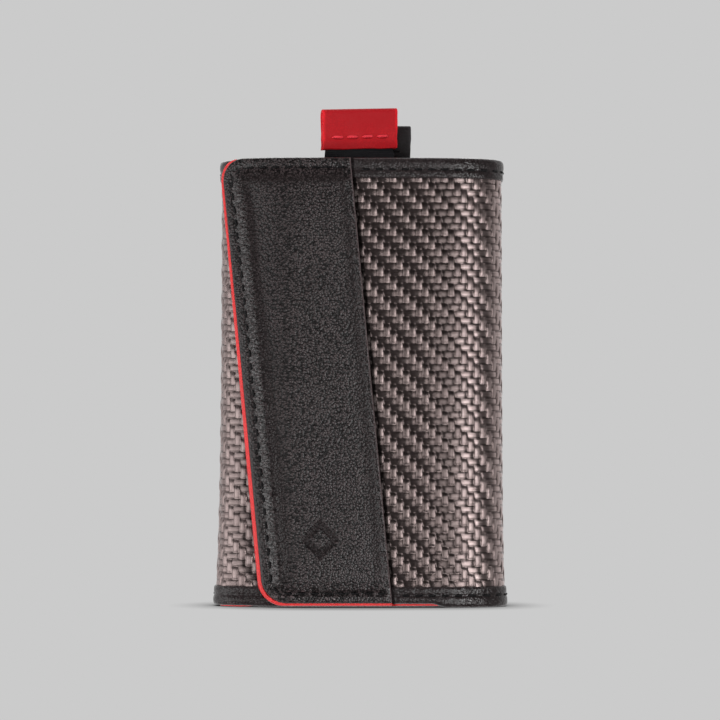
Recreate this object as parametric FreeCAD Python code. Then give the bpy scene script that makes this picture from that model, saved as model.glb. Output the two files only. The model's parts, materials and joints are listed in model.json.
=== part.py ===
import FreeCAD, Part
import math
import os

# Pull-tab card wallet, closed and standing upright.
#
# A block of two card pockets is sewn to the back of a woven wrap. The wrap's left end is a short inner
# flap and its right end is a long, tapered outer flap that closes over it on two hidden magnets. A strap
# in each pocket runs under the cards and out of the top to a folded leather grip, and pulling it lifts
# the cards.
#
# Frame: +Z up, front of the wallet towards -Y, origin on the table under the middle of the block.
# Units are millimetres. Each sub-part is written to parts/NAME.step.

# ---- what the wallet holds: ID-1 bank cards, standing upright ----
CARD_WIDTH = 53.98
CARD_HEIGHT = 85.60
CARD_THICKNESS = 0.76
CARDS_PER_POCKET = 5

# ---- overall ----
HEIGHT = 108.0
CORNER_R = 6.6            # outer radius of the wrap's four soft corners
SIDE_ROOM = 5.8           # from the block's side to the wrap's outer face

# ---- thicknesses ----
WEAVE_T = 0.7
BOARD_T = 0.6
SHIELD_T = 0.15           # card-reading shield, a metallised cloth
STRAP_T = 0.5
DIVIDER_T = 0.9
FRONT_PANEL_T = 0.9
GUSSET_T = 0.95
CORNER_LINING_T = 0.8
LINING_END_DEG = 76.0     # where a back corner's lining stops, short of the board
CASH_GAP = 0.4            # between the block and the inner flap, for folded notes
INNER_BOARD_T = 0.4
INNER_LINING_T = 0.4
FLAP_GAP = 0.7            # between the inner and the outer flap
STIFFENER_T = 0.5
FLAP_LINING_T = 0.8
LEATHER_T = 0.8
BINDING_T = 0.5
INNER_BINDING_T = 0.4

# ---- pockets ----
CARD_PLAY_X = 0.46        # free width on each side of a card
CARD_PLAY_Y = 0.3         # free depth over the card stack
STRAP_PLAY = 0.05         # between a strap and the wall it slides on
GUSSET_FLOOR = 2.5
BLOCK_TOP = HEIGHT - 1.5

# ---- straps and grips ----
STRAP_WIDTH = 17.0
GRIP_WIDTH = 18.0
GRIP_SKIN = 0.9
FRONT_TAB_X = -0.4
REAR_TAB_X = 2.8
FRONT_GRIP_Z = (109.7, 119.8)
REAR_GRIP_Z = (107.1, 115.7)
ANCHOR_TOP = 96.0
LOOP_Z = 3.2              # underside of the loop that carries the cards
LOOP_T = 0.6
LOOP_PLAY = 0.1
GRIP_STITCH_UP = 3.1      # stitch line above the grip's lower edge

# ---- bindings on the wrap's top and bottom edges ----
BINDING_H = 4.9
BINDING_CAP = 0.6         # how far the woven edge sits inside the folded binding
BINDING_RECESS = 0.35     # the red lining's edge stands this far past the binding

# ---- outer flap, seen from the front ----
FLAP_TIP_TOP_X = -32.9    # free edge at the top of the wallet
TAPER = 9.2               # how far the free edge and the seam lean to the right, top to bottom
SEAM_TOP_X = -1.4         # right edge of the smooth leather at the top
EDGE_SHOWING = 0.8        # red lining showing past the leather at the free edge
TIP_TOP_R = 3.4
TIP_BOTTOM_R = 5.6
CORE_INSET = 0.6          # the stiffener ends this far inside the leather
FOAM_INSET = 1.0          # and the foam this far
WEAVE_UNDERLAP = 4.0      # woven cloth running on under the leather
LEATHER_BOTTOM_Z = 0.5

# ---- inner flap ----
INNER_TIP_TOP_X = 9.1
INNER_TIP_R = 2.5
INNER_EDGE_SHOWING = 0.6  # red lining showing past the inner flap's woven end

# ---- magnets ----
MAGNET_R = 5.0
MAGNET_PLAY = 0.1
MAGNET_SPOTS = ((-18.0, 86.0), (-13.5, 24.0))

# ---- fold lines, at the middle of each wrap corner ----
FOLD_DEG = 45.0
FOLD_GAP_DEG = 1.5        # half the slit in the layers at a fold
SPINE_RELIEF_DEG = 8.0    # half the gap in the binding at a fold that opens 90 degrees
FLAP_RELIEF_DEG = 15.0    # the same, at the flap's fold, which opens further
TIP_WRAP_DEG = 58.0       # how far the outer flap's end curls round the left side, before trimming

# ---- sewing ----
STITCH_LENGTH = 2.3
STITCH_PITCH = 3.15
THREAD_R = 0.17
THREAD_LIFT = 0.12        # keeps a straight stitch clear of a curved face
GRIP_STITCH_LENGTH = 2.8
GRIP_STITCH_PITCH = 3.75
GRIP_STITCH_MARGIN = 1.0  # least distance from the grip's side
STITCH_MARGIN = 0.3       # from a fold's gap to the first stitch
SEAM_MARGIN = 0.8         # from the leather's seam to the nearest stitch
STITCH_INSET = 2.4        # stitch line from the leather's edge
BINDING_STITCH_Z = 2.9    # stitch line from the wallet's end

# ---- worked out, from the back towards the front ----
STACK_T = CARDS_PER_POCKET * CARD_THICKNESS + CARD_PLAY_Y
POCKET_DEPTH = STACK_T + 2 * (STRAP_T + STRAP_PLAY) + LOOP_PLAY
INNER_FLAP_T = WEAVE_T + INNER_BOARD_T + INNER_LINING_T
FLAP_T = WEAVE_T + STIFFENER_T + FLAP_LINING_T
DEPTH = (WEAVE_T + BOARD_T + SHIELD_T + POCKET_DEPTH + DIVIDER_T + POCKET_DEPTH + SHIELD_T
         + FRONT_PANEL_T + CASH_GAP + INNER_FLAP_T + FLAP_GAP + FLAP_T)
BACK_Y = DEPTH / 2
BOARD_Y = BACK_Y - WEAVE_T
REAR_SHIELD_Y = BOARD_Y - BOARD_T
REAR_POCKET_Y = REAR_SHIELD_Y - SHIELD_T
DIVIDER_Y = REAR_POCKET_Y - POCKET_DEPTH
FRONT_POCKET_Y = DIVIDER_Y - DIVIDER_T
FRONT_SHIELD_Y = FRONT_POCKET_Y - POCKET_DEPTH
FRONT_PANEL_Y = FRONT_SHIELD_Y - SHIELD_T
INNER_FLAP_Y = FRONT_PANEL_Y - FRONT_PANEL_T - CASH_GAP - INNER_FLAP_T
FRONT_Y = -DEPTH / 2
POCKET_HALF = CARD_WIDTH / 2 + CARD_PLAY_X
BLOCK_HALF = POCKET_HALF + GUSSET_T
HALF_WIDTH = BLOCK_HALF + SIDE_ROOM
CORNER_X = HALF_WIDTH - CORNER_R
BACK_CENTRE_Y = BACK_Y - CORNER_R
FRONT_CENTRE_Y = FRONT_Y + CORNER_R
INNER_CENTRE_Y = INNER_FLAP_Y + CORNER_R
TIP_R = INNER_CENTRE_Y - FRONT_Y
FAR = 60.0                # beyond the wallet on any side


# ---- the wrap's outline, walked clockwise from above, so that its inside is on the right ----
def line(start, end):
    return ("line", start, end)


def arc(centre, radius, start_deg, end_deg):
    return ("arc", centre, radius, start_deg, end_deg)


def polar(centre, radius, degrees):
    angle = math.radians(degrees)
    return (centre[0] + radius * math.cos(angle), centre[1] + radius * math.sin(angle))


def inward(start, end):
    length = math.dist(start, end)
    return ((end[1] - start[1]) / length, -(end[0] - start[0]) / length)


def segment_point(segment, depth, share):
    """Point on a segment, `share` of the way along it and `depth` below the wrap's outer face."""
    if segment[0] == "line":
        _, start, end = segment
        nx, ny = inward(start, end)
        x = start[0] + share * (end[0] - start[0]) + depth * nx
        y = start[1] + share * (end[1] - start[1]) + depth * ny
        return (x, y)
    _, centre, radius, start_deg, end_deg = segment
    return polar(centre, radius - depth, start_deg + share * (end_deg - start_deg))


def segment_length(segment):
    if segment[0] == "line":
        return math.dist(segment[1], segment[2])
    return segment[2] * math.radians(abs(segment[4] - segment[3]))


def path_point(path, depth, distance):
    """Point on the path at a distance measured along the wrap's outer face."""
    for segment in path:
        length = segment_length(segment)
        if distance <= length:
            return segment_point(segment, depth, distance / length)
        distance -= length
    return segment_point(path[-1], depth, 1.0)


def vector(point, z=0.0):
    return FreeCAD.Vector(point[0], point[1], z)


def edge(segment, depth):
    start = vector(segment_point(segment, depth, 0.0))
    end = vector(segment_point(segment, depth, 1.0))
    if segment[0] == "line":
        return Part.LineSegment(start, end).toShape()
    middle = vector(segment_point(segment, depth, 0.5))
    return Part.Arc(start, middle, end).toShape()


def layer(path, outer, inner, low, high):
    """One sheet of the wrap between two depths and two heights."""
    edges = [edge(segment, outer) for segment in path] + [edge(segment, inner) for segment in path]
    for segment, share in ((path[0], 0.0), (path[-1], 1.0)):
        ends = [vector(segment_point(segment, depth, share)) for depth in (outer, inner)]
        edges.append(Part.LineSegment(*ends).toShape())
    face = Part.Face(Part.Wire(Part.__sortEdges__(edges)))
    face.translate(FreeCAD.Vector(0, 0, low))
    return face.extrude(FreeCAD.Vector(0, 0, high - low))


# ---- plain shapes ----
def box(x0, x1, y0, y1, z0, z1):
    corner = FreeCAD.Vector(x0, y0, z0)
    return Part.makeBox(x1 - x0, y1 - y0, z1 - z0, corner)


def rod(start, end, radius):
    axis = end - start
    return Part.makeCylinder(radius, axis.Length, start, axis)


def group(shapes):
    return Part.makeCompound(shapes)


def slanted(top_x, z):
    """Place across the front, at height z, of a slanted edge that meets the top at top_x."""
    return top_x + TAPER * (HEIGHT - z) / HEIGHT


def tapered_prism(left_top_x, right_top_x, low, high, top_r=0.0, bottom_r=0.0, left_end=True):
    """A slanted front outline, right through the wallet, with the two corners of one end rounded."""
    corners = [(slanted(left_top_x, high), high), (slanted(right_top_x, high), high),
               (slanted(right_top_x, low), low), (slanted(left_top_x, low), low)]
    points = [FreeCAD.Vector(x, -FAR, z) for x, z in corners]
    prism = Part.Face(Part.makePolygon(points + points[:1])).extrude(FreeCAD.Vector(0, 2 * FAR, 0))
    rounded = (corners[0], corners[3]) if left_end else (corners[1], corners[2])
    for (x, z), radius in zip(rounded, (top_r, bottom_r)):
        if not radius:
            continue
        sharp = [e for e in prism.Edges if all(abs(v.X - x) + abs(v.Z - z) < 1e-6 for v in e.Vertexes)]
        prism = prism.makeFillet(radius, sharp)
    return prism


# ---- the wrap's five stretches, split at the four fold lines ----
LEFT_BACK = (-CORNER_X, BACK_CENTRE_Y)
RIGHT_BACK = (CORNER_X, BACK_CENTRE_Y)
RIGHT_FRONT = (CORNER_X, FRONT_CENTRE_Y)
LEFT_FRONT = (-CORNER_X, INNER_CENTRE_Y)


def back_path(gap):
    return [arc(LEFT_BACK, CORNER_R, 180 - FOLD_DEG - gap, 90),
            line((-CORNER_X, BACK_Y), (CORNER_X, BACK_Y)),
            arc(RIGHT_BACK, CORNER_R, 90, FOLD_DEG + gap)]


def right_spine_path(back_gap, front_gap):
    return [arc(RIGHT_BACK, CORNER_R, FOLD_DEG - back_gap, 0),
            line((HALF_WIDTH, BACK_CENTRE_Y), (HALF_WIDTH, FRONT_CENTRE_Y)),
            arc(RIGHT_FRONT, CORNER_R, 0, -FOLD_DEG + front_gap)]


def flap_path(gap):
    return [arc(RIGHT_FRONT, CORNER_R, -FOLD_DEG - gap, -90),
            line((CORNER_X, FRONT_Y), (-CORNER_X, FRONT_Y)),
            arc(LEFT_FRONT, TIP_R, 270, 270 - TIP_WRAP_DEG)]


def inner_flap_path(gap):
    return [line((FAR / 2, INNER_FLAP_Y), (-CORNER_X, INNER_FLAP_Y)),
            arc(LEFT_FRONT, CORNER_R, 270, 270 - FOLD_DEG + gap)]


def left_spine_path(front_gap, back_gap):
    return [arc(LEFT_FRONT, CORNER_R, 270 - FOLD_DEG - front_gap, 180),
            line((-HALF_WIDTH, INNER_CENTRE_Y), (-HALF_WIDTH, BACK_CENTRE_Y)),
            arc(LEFT_BACK, CORNER_R, 180, 180 - FOLD_DEG + back_gap)]


# ---- bindings and their stitches ----
def binding(path, proud, at_top):
    """A leather strip folded over the woven edge: an outer leg and a cap over the edge."""
    leg = layer(path, -proud, 0, BINDING_RECESS, BINDING_H)
    cap = layer(path, -proud, WEAVE_T, BINDING_RECESS, BINDING_CAP)
    strip = leg.fuse(cap).removeSplitter()
    if at_top:
        middle = FreeCAD.Vector(0, 0, HEIGHT / 2)
        strip = strip.mirror(middle, FreeCAD.Vector(0, 0, 1))
    return strip


def path_stitches(path, proud, heights, first, last):
    """Straight stitches lying along the path, from one distance to another."""
    depth = -(proud + THREAD_R + THREAD_LIFT)
    count = int((last - first - STITCH_LENGTH) / STITCH_PITCH) + 1
    stitches = []
    for z in heights:
        for number in range(count):
            begin = first + number * STITCH_PITCH
            ends = [vector(path_point(path, depth, d), z) for d in (begin, begin + STITCH_LENGTH)]
            stitches.append(rod(*ends, THREAD_R))
    return stitches


def binding_stitches(path, proud):
    length = sum(segment_length(segment) for segment in path)
    heights = (BINDING_STITCH_Z, HEIGHT - BINDING_STITCH_Z)
    return path_stitches(path, proud, heights, 0.0, length)


def wrap_sheet(path):
    return layer(path, 0, WEAVE_T, BINDING_CAP, HEIGHT - BINDING_CAP)


# ---- back of the wrap ----
def make_back():
    bound = back_path(SPINE_RELIEF_DEG)
    lining_arcs = [[arc(LEFT_BACK, CORNER_R, 180 - FOLD_DEG - FOLD_GAP_DEG, 180 - LINING_END_DEG)],
                   [arc(RIGHT_BACK, CORNER_R, LINING_END_DEG, FOLD_DEG + FOLD_GAP_DEG)]]
    corner_t = WEAVE_T + CORNER_LINING_T
    return {
        "back_weave": wrap_sheet(back_path(FOLD_GAP_DEG)),
        "back_board": box(-CORNER_X, CORNER_X, REAR_SHIELD_Y, BOARD_Y, 0, BLOCK_TOP),
        "back_corner_linings": group([layer(a, WEAVE_T, corner_t, 0, HEIGHT) for a in lining_arcs]),
        "back_top_binding": binding(bound, BINDING_T, True),
        "back_bottom_binding": binding(bound, BINDING_T, False),
        "back_stitching": group(binding_stitches(bound, BINDING_T)),
    }


# ---- the block of two pockets ----
def gusset(front_y, back_y):
    """U-shaped wall round the sides and bottom of one pocket."""
    outer = box(-BLOCK_HALF, BLOCK_HALF, front_y, back_y, 0, BLOCK_TOP)
    hollow = box(-POCKET_HALF, POCKET_HALF, front_y, back_y, GUSSET_FLOOR, BLOCK_TOP)
    return outer.cut(hollow)


def plate(back_y, thickness):
    return box(-BLOCK_HALF, BLOCK_HALF, back_y - thickness, back_y, 0, BLOCK_TOP)


def anchor_run(x, y0):
    """The strap's fixed leg, sewn to the pocket wall near the top and hanging to the loop."""
    half = STRAP_WIDTH / 2
    return box(x - half, x + half, y0, y0 + STRAP_T, LOOP_Z, ANCHOR_TOP)


def make_block():
    shield = dict(x0=-POCKET_HALF, x1=POCKET_HALF, z0=GUSSET_FLOOR, z1=BLOCK_TOP)
    return {
        "rear_shield": box(y0=REAR_POCKET_Y, y1=REAR_SHIELD_Y, **shield),
        "rear_pocket_gusset": gusset(DIVIDER_Y, REAR_POCKET_Y),
        "pocket_divider": plate(DIVIDER_Y, DIVIDER_T),
        "front_pocket_gusset": gusset(FRONT_SHIELD_Y, FRONT_POCKET_Y),
        "front_shield": box(y0=FRONT_PANEL_Y, y1=FRONT_SHIELD_Y, **shield),
        "front_pocket_panel": plate(FRONT_PANEL_Y, FRONT_PANEL_T),
        "rear_strap_anchor": anchor_run(REAR_TAB_X, REAR_POCKET_Y - STRAP_T),
        "front_strap_anchor": anchor_run(FRONT_TAB_X, FRONT_POCKET_Y - STRAP_T),
    }


# ---- straps, loops and grips ----
def pull_strap(x, y0, top):
    half = STRAP_WIDTH / 2
    return box(x - half, x + half, y0, y0 + STRAP_T, LOOP_Z + LOOP_T + LOOP_PLAY, top)


def lift_loop(x, pull_y):
    """The turn of the strap under the cards, with a short upturn at the front and the back."""
    half = STRAP_WIDTH / 2
    front = pull_y + STRAP_T + LOOP_PLAY
    back = front + STACK_T - 2 * LOOP_PLAY
    blank = box(x - half, x + half, front, back, LOOP_Z, LOOP_Z + 2 * LOOP_T)
    trough = box(x - half, x + half, front + LOOP_T, back - LOOP_T, LOOP_Z + LOOP_T, LOOP_Z + 2 * LOOP_T)
    loop = blank.cut(trough)
    corners = [e for e in loop.Edges
               if all(abs(v.Z - LOOP_Z) < 1e-6 for v in e.Vertexes) and abs(e.tangentAt(0).x) > 0.9]
    return loop.makeFillet(LOOP_T * 0.9, corners)


def grip(x, strap_y, span):
    """A leather tab folded over the strap's end, with a round fold at the top."""
    low, high = span
    half = GRIP_WIDTH / 2
    middle = strap_y + STRAP_T / 2
    outer_r = STRAP_T / 2 + GRIP_SKIN
    fold_z = high - outer_r

    def folded(radius):
        legs = box(x - half, x + half, middle - radius, middle + radius, low, fold_z)
        start = FreeCAD.Vector(x - half, middle, fold_z)
        turn = Part.makeCylinder(radius, GRIP_WIDTH, start, FreeCAD.Vector(1, 0, 0))
        return legs.fuse(turn)
    return folded(outer_r).cut(folded(STRAP_T / 2)).removeSplitter()


def grip_stitches(x, strap_y, span):
    """One row across the grip's front and one across its back."""
    z = span[0] + GRIP_STITCH_UP
    count = int((GRIP_WIDTH - 2 * GRIP_STITCH_MARGIN) / GRIP_STITCH_PITCH)
    row = (count - 1) * GRIP_STITCH_PITCH + GRIP_STITCH_LENGTH
    faces = (strap_y - GRIP_SKIN - THREAD_R, strap_y + STRAP_T + GRIP_SKIN + THREAD_R)
    stitches = []
    for y in faces:
        for number in range(count):
            left = x - row / 2 + number * GRIP_STITCH_PITCH
            ends = [FreeCAD.Vector(end, y, z) for end in (left, left + GRIP_STITCH_LENGTH)]
            stitches.append(rod(*ends, THREAD_R))
    return group(stitches)


def make_tab(name, x, strap_y, span):
    colour = {"front": "red", "rear": "black"}[name]
    strap_top = span[1] - STRAP_T / 2 - GRIP_SKIN
    return {
        name + "_pull_strap": pull_strap(x, strap_y, strap_top),
        name + "_lift_loop": lift_loop(x, strap_y),
        colour + "_grip": grip(x, strap_y, span),
        colour + "_grip_stitching": grip_stitches(x, strap_y, span),
    }


# ---- sides of the wrap ----
def make_spine(name, sheet_path, bound_path):
    lining_t = WEAVE_T + CORNER_LINING_T
    return {
        name + "_weave": wrap_sheet(sheet_path),
        name + "_lining": layer(sheet_path, WEAVE_T, lining_t, 0, HEIGHT),
        name + "_top_binding": binding(bound_path, BINDING_T, True),
        name + "_bottom_binding": binding(bound_path, BINDING_T, False),
        name + "_stitching": group(binding_stitches(bound_path, BINDING_T)),
    }


# ---- outer flap ----
def magnet_discs(outer_y, thickness, radius):
    """Two discs, facing the front, with their front faces at outer_y."""
    return group([Part.makeCylinder(radius, thickness, FreeCAD.Vector(x, outer_y, z), FreeCAD.Vector(0, 1, 0))
                  for x, z in MAGNET_SPOTS])


def leather_face(x):
    """Point on the leather's outer face and the direction that it faces, at one place across the flap."""
    if x >= -CORNER_X:
        return x, FRONT_Y - LEATHER_T, (0.0, -1.0)
    radius = TIP_R + LEATHER_T
    run = x + CORNER_X
    rise = math.sqrt(radius ** 2 - run ** 2)
    return x, INNER_CENTRE_Y - rise, (run / radius, -rise / radius)


def leather_stitch_line():
    """Corner-to-corner points of the stitch line round the leather's top, free edge and bottom."""
    left_top = FLAP_TIP_TOP_X + EDGE_SHOWING + STITCH_INSET
    high = HEIGHT - STITCH_INSET
    low = LEATHER_BOTTOM_Z + STITCH_INSET

    top_turn = TIP_TOP_R - STITCH_INSET + SEAM_MARGIN
    low_turn = TIP_BOTTOM_R - STITCH_INSET
    seam_x = SEAM_TOP_X - SEAM_MARGIN
    return [[(slanted(seam_x, high), high), (slanted(left_top, high) + top_turn, high)],
            [(slanted(left_top, high - top_turn), high - top_turn),
             (slanted(left_top, low + low_turn), low + low_turn)],
            [(slanted(left_top, low) + low_turn, low), (slanted(seam_x, low), low)]]


def leather_stitches():
    stitches = []
    for start, end in leather_stitch_line():
        run = math.dist(start, end)
        count = int((run - STITCH_LENGTH) / STITCH_PITCH) + 1
        for number in range(count):
            ends = []
            for distance in (number * STITCH_PITCH, number * STITCH_PITCH + STITCH_LENGTH):
                share = distance / run
                x, y, (nx, ny) = leather_face(start[0] + share * (end[0] - start[0]))
                lift = THREAD_R + THREAD_LIFT
                z = start[1] + share * (end[1] - start[1])
                ends.append(FreeCAD.Vector(x + lift * nx, y + lift * ny, z))
            stitches.append(rod(*ends, THREAD_R))
    return stitches


def make_flap():
    sheet = flap_path(FOLD_GAP_DEG)
    bound = flap_path(FLAP_RELIEF_DEG)
    skin_t = WEAVE_T + STIFFENER_T
    leather_left = FLAP_TIP_TOP_X + EDGE_SHOWING
    outline = tapered_prism(FLAP_TIP_TOP_X, FAR, 0, HEIGHT, TIP_TOP_R, TIP_BOTTOM_R)
    core = tapered_prism(leather_left + CORE_INSET, FAR, BINDING_CAP, HEIGHT - BINDING_CAP,
                         TIP_TOP_R, TIP_BOTTOM_R)
    leather_shape = tapered_prism(leather_left, SEAM_TOP_X, LEATHER_BOTTOM_Z, HEIGHT, TIP_TOP_R, TIP_BOTTOM_R)
    foam_low = BINDING_CAP + FOAM_INSET
    foam_shape = tapered_prism(leather_left + FOAM_INSET, SEAM_TOP_X - WEAVE_UNDERLAP, foam_low,
                               HEIGHT - foam_low, TIP_TOP_R, TIP_BOTTOM_R)
    right_of_seam = tapered_prism(SEAM_TOP_X, FAR, 0, HEIGHT)
    right_of_foam = tapered_prism(SEAM_TOP_X - WEAVE_UNDERLAP, FAR, 0, HEIGHT)
    holes = magnet_discs(FRONT_Y, WEAVE_T, MAGNET_R + MAGNET_PLAY)
    first, last = stitched_stretch(bound)
    return {
        "flap_weave": wrap_sheet(sheet).common(right_of_foam),
        "flap_foam": layer(sheet, 0, WEAVE_T, 0, HEIGHT).common(foam_shape).cut(holes),
        "flap_magnets": magnet_discs(FRONT_Y, WEAVE_T, MAGNET_R),
        "flap_stiffener": layer(sheet, WEAVE_T, skin_t, 0, HEIGHT).common(core),
        "flap_lining": layer(sheet, skin_t, FLAP_T, 0, HEIGHT).common(outline),
        "flap_leather": layer(sheet, -LEATHER_T, 0, 0, HEIGHT).common(leather_shape),
        "flap_top_binding": binding(bound, BINDING_T, True).common(right_of_seam),
        "flap_bottom_binding": binding(bound, BINDING_T, False).common(right_of_seam),
        "flap_stitching": group(leather_stitches()
                                + path_stitches(bound, BINDING_T, (HEIGHT - BINDING_STITCH_Z,), first, last)
                                + path_stitches(bound, BINDING_T, (BINDING_STITCH_Z,), first, last - TAPER)),
    }


def stitched_stretch(bound):
    """The stretch of the flap's binding that shows between its fold and the leather's seam."""
    turn = segment_length(bound[0])
    return STITCH_MARGIN, turn + CORNER_X - SEAM_TOP_X - SEAM_MARGIN


# ---- inner flap ----
def make_inner_flap():
    sheet = inner_flap_path(FOLD_GAP_DEG)
    bound = inner_flap_path(SPINE_RELIEF_DEG)
    board_t = WEAVE_T + INNER_BOARD_T
    outline = tapered_prism(-FAR, INNER_TIP_TOP_X, 0, HEIGHT, INNER_TIP_R, INNER_TIP_R, left_end=False)
    trimmed = tapered_prism(-FAR, INNER_TIP_TOP_X - INNER_EDGE_SHOWING, 0, HEIGHT, INNER_TIP_R, INNER_TIP_R,
                            left_end=False)
    holes = magnet_discs(INNER_FLAP_Y + WEAVE_T, INNER_BOARD_T, MAGNET_R + MAGNET_PLAY)
    board = layer(sheet, WEAVE_T, board_t, BINDING_CAP, HEIGHT - BINDING_CAP)
    return {
        "inner_flap_weave": wrap_sheet(sheet).common(trimmed),
        "inner_flap_board": board.common(trimmed).cut(holes),
        "inner_flap_keepers": magnet_discs(INNER_FLAP_Y + WEAVE_T, INNER_BOARD_T, MAGNET_R),
        "inner_flap_lining": layer(sheet, board_t, INNER_FLAP_T, 0, HEIGHT).common(outline),
        "inner_flap_top_binding": binding(bound, INNER_BINDING_T, True).common(trimmed),
        "inner_flap_bottom_binding": binding(bound, INNER_BINDING_T, False).common(trimmed),
    }


# ---- the whole wallet ----
def build():
    front_strap_y = FRONT_SHIELD_Y + STRAP_PLAY
    rear_strap_y = DIVIDER_Y + STRAP_PLAY
    nodes = {}
    nodes.update(make_back())
    nodes.update(make_block())
    nodes.update(make_tab("front", FRONT_TAB_X, front_strap_y, FRONT_GRIP_Z))
    nodes.update(make_tab("rear", REAR_TAB_X, rear_strap_y, REAR_GRIP_Z))
    nodes.update(make_spine("right_spine", right_spine_path(FOLD_GAP_DEG, FOLD_GAP_DEG),
                            right_spine_path(SPINE_RELIEF_DEG, FLAP_RELIEF_DEG)))
    nodes.update(make_spine("left_spine", left_spine_path(FOLD_GAP_DEG, FOLD_GAP_DEG),
                            left_spine_path(SPINE_RELIEF_DEG, SPINE_RELIEF_DEG)))
    nodes.update(make_flap())
    nodes.update(make_inner_flap())
    return nodes


def main():
    os.makedirs("parts", exist_ok=True)
    for name, shape in build().items():
        shape.exportStep("parts/" + name + ".step")


main()
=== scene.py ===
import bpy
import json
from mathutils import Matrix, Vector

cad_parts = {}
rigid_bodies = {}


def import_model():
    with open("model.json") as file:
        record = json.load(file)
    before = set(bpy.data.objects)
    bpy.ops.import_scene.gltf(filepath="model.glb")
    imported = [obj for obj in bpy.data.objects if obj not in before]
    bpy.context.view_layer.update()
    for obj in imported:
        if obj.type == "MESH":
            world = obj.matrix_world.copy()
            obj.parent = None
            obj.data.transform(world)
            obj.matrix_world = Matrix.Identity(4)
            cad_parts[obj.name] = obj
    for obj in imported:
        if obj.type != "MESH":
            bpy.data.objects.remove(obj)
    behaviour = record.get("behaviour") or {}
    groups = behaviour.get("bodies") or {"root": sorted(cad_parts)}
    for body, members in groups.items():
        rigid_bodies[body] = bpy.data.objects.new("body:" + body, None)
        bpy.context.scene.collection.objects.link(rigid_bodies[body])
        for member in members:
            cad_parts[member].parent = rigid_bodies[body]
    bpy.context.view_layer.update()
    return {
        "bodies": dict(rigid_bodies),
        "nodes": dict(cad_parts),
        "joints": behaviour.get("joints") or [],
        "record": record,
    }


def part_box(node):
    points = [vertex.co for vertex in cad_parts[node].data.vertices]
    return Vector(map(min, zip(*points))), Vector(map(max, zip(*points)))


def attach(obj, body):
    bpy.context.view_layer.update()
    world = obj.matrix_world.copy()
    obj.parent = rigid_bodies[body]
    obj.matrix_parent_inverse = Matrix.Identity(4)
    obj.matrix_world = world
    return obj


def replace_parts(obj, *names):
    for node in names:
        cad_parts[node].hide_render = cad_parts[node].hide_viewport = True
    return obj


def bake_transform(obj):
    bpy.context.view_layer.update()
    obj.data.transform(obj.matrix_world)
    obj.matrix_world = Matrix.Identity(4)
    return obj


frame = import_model()

import json
import math

import bmesh
import bpy
import numpy as np
from mathutils import Vector

# Pull-tab card wallet. Lengths are in millimetres until a mesh is made, which is in metres.
MM = 0.001
rng = np.random.default_rng(11)


# ---- sizes, read from the frame ----
def cad(node, corner, axis):
    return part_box(node)[corner][axis] / MM


HEIGHT = cad("right_spine_lining", 1, 2)
HALF = cad("right_spine_weave", 1, 0)
BACK_Y = cad("back_weave", 1, 1)
FRONT_Y = cad("flap_weave", 0, 1)
INNER_Y = cad("inner_flap_weave", 0, 1)
CORNER_R = 6.6
WEAVE_T = 0.7
CX = HALF - CORNER_R
BACK_CY = BACK_Y - CORNER_R
FRONT_CY = FRONT_Y + CORNER_R
INNER_CY = INNER_Y + CORNER_R
TIP_R = INNER_CY - FRONT_Y
BINDING_H = cad("back_bottom_binding", 1, 2)
BLOCK_HALF = cad("pocket_divider", 1, 0)
BLOCK_TOP = cad("pocket_divider", 1, 2)

# ---- the outer flap's outline, as in the CAD ----
TAPER = 9.2
TIP_TOP_X = -32.9
SEAM_TOP_X = -1.4
EDGE_SHOWING = 0.95
EDGE_SHIFT = -1.6         # the soft free edge lies a little further out than in the CAD
EDGE_LEAN = 1.1
SEAM_SHIFT = -0.9
SEAM_LEAN = 0.85
TIP_TOP_R = 6.0
TIP_BOTTOM_R = 5.6
INNER_TIP_TOP_X = 9.1
INNER_EDGE_SHOWING = 0.6
FLAP_FOOT = 0.4          # the outer flap ends this far above the table
LEATHER_FOOT = 1.05
LINING_DROP = 1.4         # the red lining ends this far below the bindings' top

# ---- weave ----
TOW_X = 1.55
TOW_Z = 1.62
UPRIGHT_WAVE = 0.2
LEVEL_WAVE = 0.12
TOW_CROWN = 0.12
TOW_STEPS = np.array([0.0, 0.1, 0.3, 0.5, 0.7, 0.9])

STITCH_LENGTH = 2.1
STITCH_PITCH = 3.15
THREAD_R = 0.26
STITCH_INSET = 2.4
BINDING_STITCH_Z = 2.9


EASE_FROM = 15.0
EASE_END = 3.9
EASE_SLOPE = 0.027


def smooth(value, low, high):
    share = np.clip((value - low) / (high - low), 0, 1)
    return share * share * (3 - 2 * share)


def bump(value, centre, width):
    return np.exp(-(((value - centre) / width) ** 2))


def wander(points, scale, seed):
    """Smooth random values in about -1..1 at an array of points, from a few fixed waves."""
    source = np.random.default_rng(seed)
    total = np.zeros(points.shape[:-1])
    for _ in range(9):
        direction = source.normal(size=points.shape[-1])
        direction /= np.linalg.norm(direction) * scale * source.uniform(0.6, 1.7)
        total += np.sin(points @ direction * 2 * math.pi + source.uniform(0, 2 * math.pi))
    return total / 3.5


# ---- the wrap's outer face ----
RIGHT = (("line", (0, BACK_Y), (CX, BACK_Y)), ("arc", (CX, BACK_CY), CORNER_R, 90, 0),
         ("line", (HALF, BACK_CY), (HALF, FRONT_CY)), ("arc", (CX, FRONT_CY), CORNER_R, 0, -90),
         ("line", (CX, FRONT_Y), (-CX, FRONT_Y)), ("arc", (-CX, INNER_CY), TIP_R, -90, -160))
LEFT = (("line", (0, BACK_Y), (-CX, BACK_Y)), ("arc", (-CX, BACK_CY), CORNER_R, 90, 180),
        ("line", (-HALF, BACK_CY), (-HALF, INNER_CY)), ("arc", (-CX, INNER_CY), CORNER_R, 180, 270),
        ("line", (-CX, INNER_Y), (HALF, INNER_Y)))


def part_length(part):
    if part[0] == "line":
        return math.dist(part[1], part[2])
    return part[2] * math.radians(abs(part[4] - part[3]))


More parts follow.
